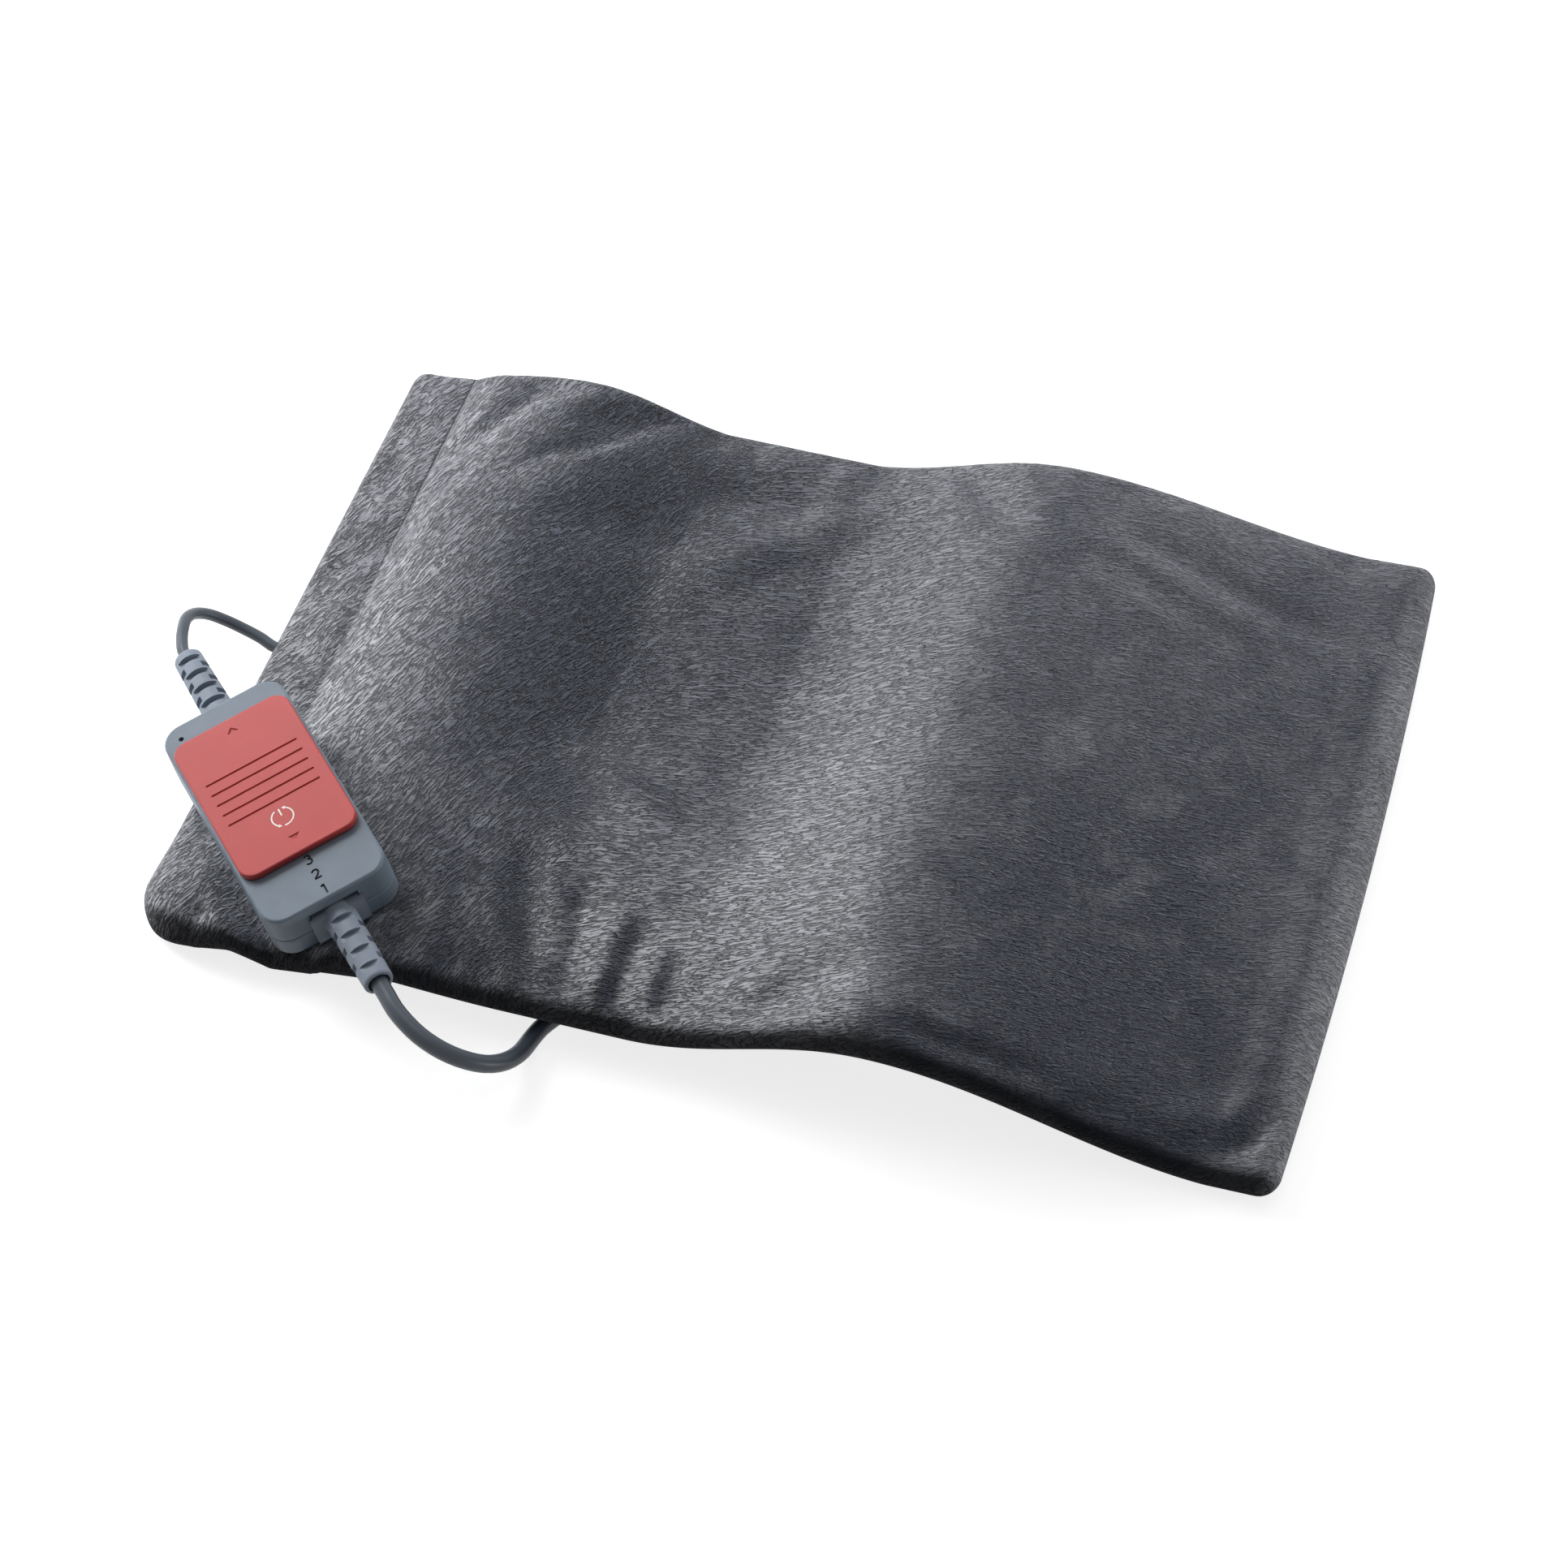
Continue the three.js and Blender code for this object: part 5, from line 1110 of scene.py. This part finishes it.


# %% [markdown]
# Where the cover turns over at a seam, the roll is painted lighter: a painted highlight for the sheen
# of fibres seen along their length and for the lamps behind and at the right. It is strongest at the far end
# and along the back, and less of it towards the front. The surface normal tells where the cover turns over.

# %% Painted highlights on the rolled seams
def painted_seam_highlights(tree, x, y, facing):
    """The painted highlight where the cover turns down to its seams."""
    # Painted highlights: lighter where the surface faces the far end or the back.
    rolled = remapped(tree, facing.outputs["X"], 0.35, 0.92, 0.0, 0.8, (-1600, 1050))
    turned_back = remapped(tree, facing.outputs["Y"], 0.25, 0.8, 0.0, 0.6, (-1600, 1200))
    far_seam = remapped(tree, x, 0.2275, 0.2455, 0.0, 0.72, (-1600, 1350))
    from_front = remapped(tree, y, -0.17, 0.02, 0.60, 1.0, (-1600, 1500))
    far_seam = combined(tree, "MULTIPLY", far_seam, from_front, (-1450, 1400))
    rolled = combined(tree, "MULTIPLY", rolled, from_front, (-1450, 1200))
    seams = combined(tree, "MAXIMUM", rolled, turned_back, (-1400, 1000))
    return combined(tree, "MAXIMUM", seams, far_seam, (-1300, 1100))


# %% [markdown]
# Slopes that face the mouth are painted lighter. Partly this is the pile, which leans towards the far end,
# so these slopes show the sides of its fibres; partly it is painted light from the low lamp on the left,
# which they face.
# No pile lies quite evenly, so soft patches scale all of it. The whole cover is painted lighter towards the
# front, and along the front edge the main wave gets painted light and the dip beside it, where the controller
# stands, painted shadow.

# %% Lie of the pile and painted light
def unevenness_and_painted_light(tree, x, y, patches):
    """A factor near 1: soft patches, painted light towards the front, and at the front edge painted light on
    the wave and painted shadow beside it.
    """
    uneven = remapped(tree, patches, 0.3, 0.7, 0.78, 1.22, (-1400, 100))
    # Painted light: the cover is lighter towards the front.
    painted_light_to_front = remapped(tree, y, 0.17, -0.16, 0.78, 1.34, (-1400, -50))
    uneven = combined(tree, "MULTIPLY", uneven, painted_light_to_front, (-1250, 50))
    # At the front edge: painted light on the main wave, and painted shadow in the dip beside it.
    by_front = remapped(tree, y, -0.045, -0.125, 0.0, 1.0, (-1600, -700))
    up_wave = remapped(tree, x, -0.064, -0.028, -0.18, 1.10, (-1600, -850))
    past_wave = remapped(tree, x, 0.040, 0.085, 1.0, 0.1, (-1600, -1000))
    painted_wave_light_and_shade = combined(tree, "MULTIPLY", up_wave, past_wave, (-1450, -900))
    front = combined(tree, "MULTIPLY", by_front, painted_wave_light_and_shade, (-1400, -700))
    front = combined(tree, "ADD", front, 1.0, (-1250, -700))
    return combined(tree, "MULTIPLY", uneven, front, (-1150, 50))


def pile_lie_and_painted_light(tree, everywhere, x, y, facing):
    """0 where the eye looks down into the pile and 1 where its fibres lean over, with painted light and shade
    in it.
    """
    patches = cloudy(tree, everywhere, 38, (-2200, 100), detail=4.0, roughness=0.6, distortion=0.8)
    patches = patches.outputs["Fac"]
    tousle = remapped(tree, patches, 0.3, 0.7, -0.13, 0.13, (-2000, 250))
    tousled = combined(tree, "ADD", facing.outputs["X"], tousle, (-1700, 550))
    # Painted light: slopes that face the low lamp on the left are made lighter.
    painted_slope_light = remapped(tree, tousled, 0.27, -0.50, 0.0, 0.82, (-1600, 500))
    brushed_and_lit = brushed_and_lit_pile(tree, everywhere, x, y)
    seams = painted_seam_highlights(tree, x, y, facing)
    # Brushing and painted light on the hem and the ends, with the painted highlights on the seams.
    pressed = combined(tree, "MAXIMUM", brushed_and_lit, seams, (-1250, 600))
    lie_and_painted_light = combined(tree, "MAXIMUM", painted_slope_light, pressed, (-1300, 400))
    return combined(tree, "MULTIPLY", lie_and_painted_light, unevenness_and_painted_light(tree, x, y, patches), (-1200, 300))


# %% [markdown]
# Up close, plush is made of locks: small tufts a few millimetres long that cling together.
# Noise gives them when its space is stretched one way, and a second, broad noise bends that space
# into swirls. The pile lies across the pad at its mouth and along it past the left wave,
# so two sets of locks are mixed by x. A Mapping node of the TEXTURE kind stretches along its own turned axis.

# %% Combed locks
LOCK_STRETCH = 4.4
LOCKS_AT_MOUTH = {"angle": 66, "width": 1.55}
LOCKS_ALONG = {"angle": 14, "width": 1.45}
FIBRE_WIDTH = 0.55
SWIRL_WIDTH, SWIRL_SHIFT = 48, 11


def combed_space(tree, source, angle, place):
    """The space of the locks, turned by the angle and stretched along it."""
    turned = node(tree, "ShaderNodeMapping", place, vector_type="TEXTURE")
    turned.inputs["Rotation"].default_value = (0, 0, math.radians(angle))
    turned.inputs["Scale"].default_value = (LOCK_STRETCH, 1.0, LOCK_STRETCH)
    tree.links.new(source, turned.inputs["Vector"])
    return turned.outputs["Vector"]


def combed_locks(tree, everywhere, x):
    """The locks and the single fibres in them, both as a value about 0.5."""
    swirl = cloudy(tree, everywhere, SWIRL_WIDTH, (-2300, -250), detail=1.0)
    shift = node(tree, "ShaderNodeVectorMath", (-2100, -250), operation="SCALE")
    shift.inputs["Scale"].default_value = SWIRL_SHIFT * MM
    tree.links.new(swirl.outputs["Color"], shift.inputs[0])
    swirled = node(tree, "ShaderNodeVectorMath", (-1950, -150), operation="ADD")
    tree.links.new(everywhere, swirled.inputs[0])
    tree.links.new(shift.outputs["Vector"], swirled.inputs[1])

    across = combed_space(tree, swirled.outputs["Vector"], LOCKS_AT_MOUTH["angle"], (-1800, -100))
    along = combed_space(tree, swirled.outputs["Vector"], LOCKS_ALONG["angle"], (-1800, -300))
    at_mouth = cloudy(tree, across, LOCKS_AT_MOUTH["width"], (-1500, -100), distortion=0.10).outputs["Fac"]
    lying = cloudy(tree, along, LOCKS_ALONG["width"], (-1500, -250), distortion=0.10).outputs["Fac"]
    fibres = cloudy(tree, along, FIBRE_WIDTH, (-1500, -500), roughness=0.6).outputs["Fac"]

    change = combined(tree, "SUBTRACT", lying, at_mouth, (-1350, -350))
    taken_over = remapped(tree, x, -0.100, -0.020, 0.0, 1.0, (-1500, -400))
    change = combined(tree, "MULTIPLY", change, taken_over, (-1300, -400))
    return combined(tree, "ADD", at_mouth, change, (-1250, -300)), fibres


# %% [markdown]
# The locks part along thin lines, which are where their noise passes through its middle value.
# The same height then serves twice: it feeds the bump, and it darkens the gaps with painted shade,
# the shade that falls between the locks, where the eye looks deep into the pile. The hem's stitches press
# a fine line into both, so the stitch line is a dent and a painted shade.

# %% Height and painted shade of the pile
STITCH_LINE = 186.0 * MM  # from the model's origin towards the mouth


def magnitude(tree, source, offset, place):
    """How far a value plus an offset lies from nothing."""
    moved_by = combined(tree, "ADD", source, offset, place)
    return combined(tree, "ABSOLUTE", moved_by, 0.0, (place[0] + 100, place[1]))


def pile_relief(tree, combed, x, y):
    """The height of the locks, how crinkled they are, and 0 on the stitch line."""
    parted = remapped(tree, magnitude(tree, combed, -0.5, (-1300, -150)), 0.0, 0.08, 0.0, 1.0, (-1050, -150))
    pile = combined(tree, "ADD", combined(tree, "MULTIPLY", parted, 0.55, (-900, -150)), combed, (-800, -150))
    crinkled = remapped(tree, x, 0.16, -0.04, 0.50, 1.0, (-1600, -500))
    off_stitch = magnitude(tree, x, STITCH_LINE, (-1300, -700))
    unstitched = remapped(tree, off_stitch, 0.15 * MM, 1.0 * MM, 0.0, 1.0, (-1050, -700))
    # The stitch line, its dent and its painted shade, fades out towards the front.
    stitch_fades = remapped(tree, y, 0.10, 0.02, 0.0, 1.0, (-1050, -850))
    unstitched = combined(tree, "MAXIMUM", unstitched, stitch_fades, (-900, -700))
    return pile, crinkled, unstitched


def pile_bump(tree, depth, fibres, shader):
    """A coarse bump for the locks and a fine one for the fibres."""
    coarse = node(tree, "ShaderNodeBump", (-700, -300), Strength=1.0, Distance=2.1 * MM)
    tree.links.new(depth, coarse.inputs["Height"])
    fine = node(tree, "ShaderNodeBump", (-500, -400), Strength=0.8, Distance=0.4 * MM)
    tree.links.new(fibres, fine.inputs["Height"])
    tree.links.new(coarse.outputs["Normal"], fine.inputs["Normal"])
    tree.links.new(fine.outputs["Normal"], shader.inputs["Normal"])


def pile_shade(tree, pile, crinkled, unstitched, fibres, painted_front_roll_shade):
    """A factor on the colour: painted shade in the gaps, on the stitch line and on the front roll, and grain
    from the fibres.
    """
    # Painted shade: the gaps between the locks are darkened.
    tip = remapped(tree, pile, 0.35, 1.15, -0.62, 0.30, (-1200, 0))
    shade = combined(tree, "ADD", combined(tree, "MULTIPLY", tip, crinkled, (-1000, 0)), 1.0, (-850, 0))
    shade = combined(tree, "MULTIPLY", shade, painted_front_roll_shade, (-700, -50))
    # Painted shade along the stitch line.
    painted_stitch_shade = combined(tree, "MULTIPLY", unstitched, 0.22, (-650, -50))
    painted_stitch_shade = combined(tree, "ADD", painted_stitch_shade, 0.78, (-600, -50))
    shade = combined(tree, "MULTIPLY", shade, painted_stitch_shade, (-550, -50))
    grain = remapped(tree, fibres, 0.30, 0.70, 0.72, 1.28, (-600, 50))
    return combined(tree, "MULTIPLY", shade, grain, (-450, 0))


# %% [markdown]
# One material covers the whole pad, and everything in it is measured in object space, so that it stays
# on the fabric from every side. The slant of the pile, with painted light and shade in it, picks a colour
# between the dark depth and the pale sides of the fibres, the painted shade scales it, and sheen adds the
# soft glow of fibres that are seen sideways.

# %% Plush finish
# The two ends of the colour ramp: the dark end also stands for painted shade, the pale end for painted light.
PILE_DEPTH_AND_SHADE = (0.040, 0.045, 0.062, 1)
PILE_SIDES_AND_LIGHT = (0.31, 0.315, 0.337, 1)


def plush_finish():
    material = bpy.data.materials.new("dark_plush")
    material.use_nodes = True
    tree = material.node_tree
    shader = tree.nodes["Principled BSDF"]
    where = node(tree, "ShaderNodeTexCoord", (-2000, 0))
    everywhere = where.outputs["Object"]
    place = node(tree, "ShaderNodeSeparateXYZ", (-1800, -450))
    tree.links.new(everywhere, place.inputs["Vector"])
    x, y = place.outputs["X"], place.outputs["Y"]
    facing = node(tree, "ShaderNodeSeparateXYZ", (-1800, 450))
    tree.links.new(where.outputs["Normal"], facing.inputs["Vector"])

    lie_and_painted_light = pile_lie_and_painted_light(tree, everywhere, x, y, facing)
    combed, fibres = combed_locks(tree, everywhere, x)
    pile, crinkled, unstitched = pile_relief(tree, combed, x, y)
    depth = combined(tree, "MULTIPLY", pile, crinkled, (-700, -150))
    depth = combined(tree, "MULTIPLY", depth, unstitched, (-600, -150))
    pile_bump(tree, depth, fibres, shader)

    # Painted shade: the roll along the front edge, which faces away from the lamps, is darkened.
    painted_front_roll_shade = remapped(tree, facing.outputs["Y"], -0.30, -0.80, 1.0, 0.22, (-1000, -150))
    shade = pile_shade(tree, pile, crinkled, unstitched, fibres, painted_front_roll_shade)
    tint = node(tree, "ShaderNodeValToRGB", (-900, 300))
    tint.color_ramp.elements[0].color = PILE_DEPTH_AND_SHADE
    tint.color_ramp.elements[1].color = PILE_SIDES_AND_LIGHT
    tree.links.new(lie_and_painted_light, tint.inputs["Fac"])
    shaded = node(tree, "ShaderNodeVectorMath", (-500, 200), operation="SCALE")
    tree.links.new(tint.outputs["Color"], shaded.inputs[0])
    tree.links.new(shade, shaded.inputs["Scale"])
    tree.links.new(shaded.outputs["Vector"], shader.inputs["Base Color"])

    # The sheen is cut down on the front roll too, which is more painted shade.
    glow = combined(tree, "MULTIPLY", painted_front_roll_shade, 0.45, (-500, -100))
    tree.links.new(glow, shader.inputs["Sheen Weight"])
    shader.inputs["Roughness"].default_value = 0.95
    shader.inputs["Specular IOR Level"].default_value = 0.12
    shader.inputs["Sheen Roughness"].default_value = 0.45
    shader.inputs["Sheen Tint"].default_value = (0.85, 0.87, 0.92, 1)
    return material


plush_cover.data.materials.append(plush_finish())

# %% [markdown]
# The other finishes: satin grey mouldings, a glossier red plate, soft sheaths for the cords,
# and inside the controller board laminate, copper, plated steel and pale insulators.
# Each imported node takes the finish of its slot, so that the inside is as complete as the outside.

# %% Finishes by slot
SOFT_GLINT = {"Specular IOR Level": 0.40}
METAL = {"Metallic": 1.0}
HOUSING_GREY = (0.145, 0.184, 0.230)
PLATE_RED = (0.43, 0.042, 0.040)
CLEAR = {"Transmission Weight": 0.6}
TINTED_CLEAR = {"Transmission Weight": 0.4}
finishes = {  # each: name, colour, roughness, grain in mm, bump in mm, mottle
    "housing_grey": finish_with_grain("grey_moulding", HOUSING_GREY, 0.42, 0.22, 0.006, sockets=SOFT_GLINT),
    "slider_red": finish_with_grain("red_moulding", PLATE_RED, 0.38, 0.25, 0.004, 0.04, SOFT_GLINT),
    "relief_grey": finish_with_grain("soft_grey_moulding", (0.20, 0.235, 0.290), 0.5, 0.25, 0.008),
    "cord_sheath": finish_with_grain("mains_sheath", (0.050, 0.063, 0.083), 0.36, 0.4, 0.01),
    "lead_sheath": finish_with_grain("lead_sheath", (0.060, 0.074, 0.095), 0.36, 0.35, 0.01),
    "core_felt": finish_with_grain("needled_felt", (0.68, 0.65, 0.58), 0.95, 0.6, 0.2, 0.1),
    "wire_silicone": finish_with_grain("silicone", (0.80, 0.76, 0.68), 0.45),
    "cream_insulator": finish_with_grain("cream_insulator", (0.76, 0.72, 0.64), 0.6),
    "dark_plastic": finish_with_grain("dark_moulding", (0.030, 0.032, 0.036), 0.5),
    "plug_plastic": finish_with_grain("plug_moulding", (0.090, 0.108, 0.135), 0.48, 0.3, 0.012),
    "board_laminate": finish_with_grain("board_laminate", (0.03, 0.14, 0.06), 0.35, 0.5, 0.02, 0.12),
    "contact_copper": finish_with_grain("contact_copper", (0.75, 0.40, 0.22), 0.3, sockets=METAL),
    "screw_steel": finish_with_grain("plated_steel", (0.60, 0.60, 0.62), 0.32, sockets=METAL),
    "pin_nickel": finish_with_grain("nickel", (0.72, 0.70, 0.66), 0.2, sockets=METAL),
    "fuse_glass": finish_with_grain("fuse_glass", (0.9, 0.92, 0.92), 0.08, sockets=CLEAR),
    "lamp_red": finish_with_grain("lamp_lens", (0.30, 0.02, 0.015), 0.15, sockets=TINTED_CLEAR),
    "plush_fabric": plush_cover.data.materials[0],
}
for row in frame["record"]["subparts"]:
    packed = frame["nodes"][row["node"]]
    if not packed.material_slots:
        packed.data.materials.append(None)
    packed.material_slots[0].material = finishes[row["material_slot"]]
# A darker grey that paints the shade in the sunk figures.
finishes["shaded_grey"] = finish_with_grain("shaded_grey", (0.020, 0.024, 0.030), 0.7)
finishes["white_ink"] = finish_with_grain("white_ink", (0.80, 0.76, 0.70), 0.5)
for piece, finish in (
    (mains_lead, "cord_sheath"), (pad_lead, "lead_sheath"),
    (upper_shell, "housing_grey"), (lower_shell, "housing_grey"),
    (mains_relief, "relief_grey"), (lead_relief, "relief_grey"),
    (red_plate, "slider_red"), (printed_sign, "white_ink"),
):
    piece.data.materials.clear()
    piece.data.materials.append(finishes[finish])
print("finishes:", len(finishes))

# %% [markdown]
# The sunk figures get painted shade. They are only dents in the shell, so the faces
# that sit just under the lid's top, in the strip where the figures stand, take a darker finish in place of
# their shade.

# %% Painted shade in the sunk figures
STRIP = {"half": 3.0, "front": -56.0, "back": -32.0}
dent_low, dent_high = HOUSING["height"] - 1.0, HOUSING["height"] - 0.05
upper_shell.data.materials.append(finishes["shaded_grey"])
shaded_faces = 0
for face in upper_shell.data.polygons:
    x, y, z = face.center / MM
    if abs(x) < STRIP["half"] and STRIP["front"] < y < STRIP["back"] and dent_low < z < dent_high:
        face.material_index = 1
        shaded_faces += 1
print("faces in the sunk figures:", shaded_faces)

# %% [markdown]
# The object lies on a pale floor, as in a catalogue picture, where the ground runs into the white.
# Near the object the floor glows a little less, so that it keeps the shadow. Its glow grows with the
# distance from the middle, measured on the floor itself, and reaches full white about a metre away.

# %% Floor
def seen_by_eye(tree, x, y):
    """1 for rays from the camera, off a mirror or through glass, and 0 for the light that falls on things."""
    ray = node(tree, "ShaderNodeLightPath", (x, y))
    seen = node(tree, "ShaderNodeMath", (x + 200, y), operation="MAXIMUM")
    seen_too = node(tree, "ShaderNodeMath", (x + 350, y), operation="MAXIMUM")
    tree.links.new(ray.outputs["Is Camera Ray"], seen.inputs[0])
    tree.links.new(ray.outputs["Is Glossy Ray"], seen.inputs[1])
    tree.links.new(seen.outputs["Value"], seen_too.inputs[0])
    tree.links.new(ray.outputs["Is Transmission Ray"], seen_too.inputs[1])
    return seen_too.outputs["Value"]


def pale_floor():
    material = bpy.data.materials.new("pale_floor")
    material.use_nodes = True
    tree = material.node_tree
    shader = tree.nodes["Principled BSDF"]
    shader.inputs["Base Color"].default_value = (0.45, 0.45, 0.45, 1)
    shader.inputs["Roughness"].default_value = 0.9
    shader.inputs["Specular IOR Level"].default_value = 0.1
    glow = node(tree, "ShaderNodeEmission", (-250, -100))
    place = node(tree, "ShaderNodeTexCoord", (-900, 100))
    away = node(tree, "ShaderNodeVectorMath", (-700, 100), operation="LENGTH")
    grows = remapped(tree, away.outputs["Value"], 0.45, 1.30, 0.80, 1.0, (-500, 100))
    tree.links.new(place.outputs["Object"], away.inputs[0])
    tree.links.new(grows, glow.inputs["Strength"])
    both = node(tree, "ShaderNodeAddShader", (150, 0))
    dark = node(tree, "ShaderNodeMixShader", (0, -150))
    tree.links.new(seen_by_eye(tree, -600, -300), dark.inputs["Fac"])
    tree.links.new(glow.outputs["Emission"], dark.inputs[2])
    tree.links.new(shader.outputs["BSDF"], both.inputs[0])
    tree.links.new(dark.outputs["Shader"], both.inputs[1])
    tree.links.new(both.outputs["Shader"], tree.nodes["Material Output"].inputs["Surface"])
    return material


FLOOR_HALF = 6.0  # m
FLOOR_DROP = 0.5  # mm under the object, so that the two don't flicker
floor_corners = [(-FLOOR_HALF, -FLOOR_HALF, 0), (FLOOR_HALF, -FLOOR_HALF, 0)]
floor_corners += [(FLOOR_HALF, FLOOR_HALF, 0), (-FLOOR_HALF, FLOOR_HALF, 0)]
floor_mesh = bpy.data.meshes.new("floor")
floor_mesh.from_pydata(floor_corners, [], [(0, 1, 2, 3)])
floor = in_scene("floor", floor_mesh)
floor.location.z = -FLOOR_DROP * MM
floor.data.materials.append(pale_floor())

# %% [markdown]
# One strong light stands low on the left, so every fold and lock of the plush throws a small shadow.
# A strip behind and a rim on the right mark the edges, a small lamp gives the plastic its soft reflection,
# and a weak light from above keeps the shadows open. The two low lights shine without a mirror image,
# because seen from the other side it would bleach the plastic.

# %% Lights
def soft_light(name, place, size, power, look_at=(0, 0, 0.01)):
    data = bpy.data.lights.new(name, "AREA")
    data.shape = "RECTANGLE"
    data.size, data.size_y = size
    data.energy = power
    light = in_scene(name, data)
    light.location = place
    light.rotation_euler = (Vector(look_at) - Vector(place)).to_track_quat("-Z", "Y").to_euler()
    return light


low_lights = [
    soft_light("low_window_left", (-0.95, 0.22, 0.34), (0.5, 0.9), 15, (0.05, -0.02, 0.0)),
    soft_light("low_strip_behind", (0.15, 0.85, 0.40), (1.2, 0.3), 5, (0.1, 0.0, 0.0)),
]
for light in low_lights:
    light.visible_glossy = False
soft_light("rim_right", (1.15, 0.10, 0.15), (0.9, 0.12), 4.5, (0.24, 0.0, 0.0))
soft_light("lamp_upper_left", (-0.92, 0.60, 1.05), (0.45, 0.45), 3.8, (-0.1, -0.05, 0.0))
soft_light("overhead", (-0.1, 0.2, 2.1), (1.4, 1.4), 6)

# %% [markdown]
# The world is what surrounds the set. To the eye, and in a mirror, it is plain white, as a catalogue page is.
# As a light it stays dim, so that the lamps alone shape the object.

# %% World
WORLD_LIGHT = 0.11
world = bpy.data.worlds.new("studio")
world.use_nodes = True
bpy.context.scene.world = world
world_tree = world.node_tree
sky = world_tree.nodes["Background"]
sky.inputs["Color"].default_value = (1, 1, 1, 1)
sky.inputs["Strength"].default_value = WORLD_LIGHT
white = node(world_tree, "ShaderNodeBackground", (0, -200), Strength=1.0)
white.inputs["Color"].default_value = (1, 1, 1, 1)
either = node(world_tree, "ShaderNodeMixShader", (200, 0))
world_tree.links.new(seen_by_eye(world_tree, -500, 200), either.inputs["Fac"])
world_tree.links.new(sky.outputs["Background"], either.inputs[1])
world_tree.links.new(white.outputs["Background"], either.inputs[2])
world_tree.links.new(either.outputs["Shader"], world_tree.nodes["World Output"].inputs["Surface"])

# %% [markdown]
# At the end the scene is brought up to date.

# %% Finish
import json

bpy.context.view_layer.update()
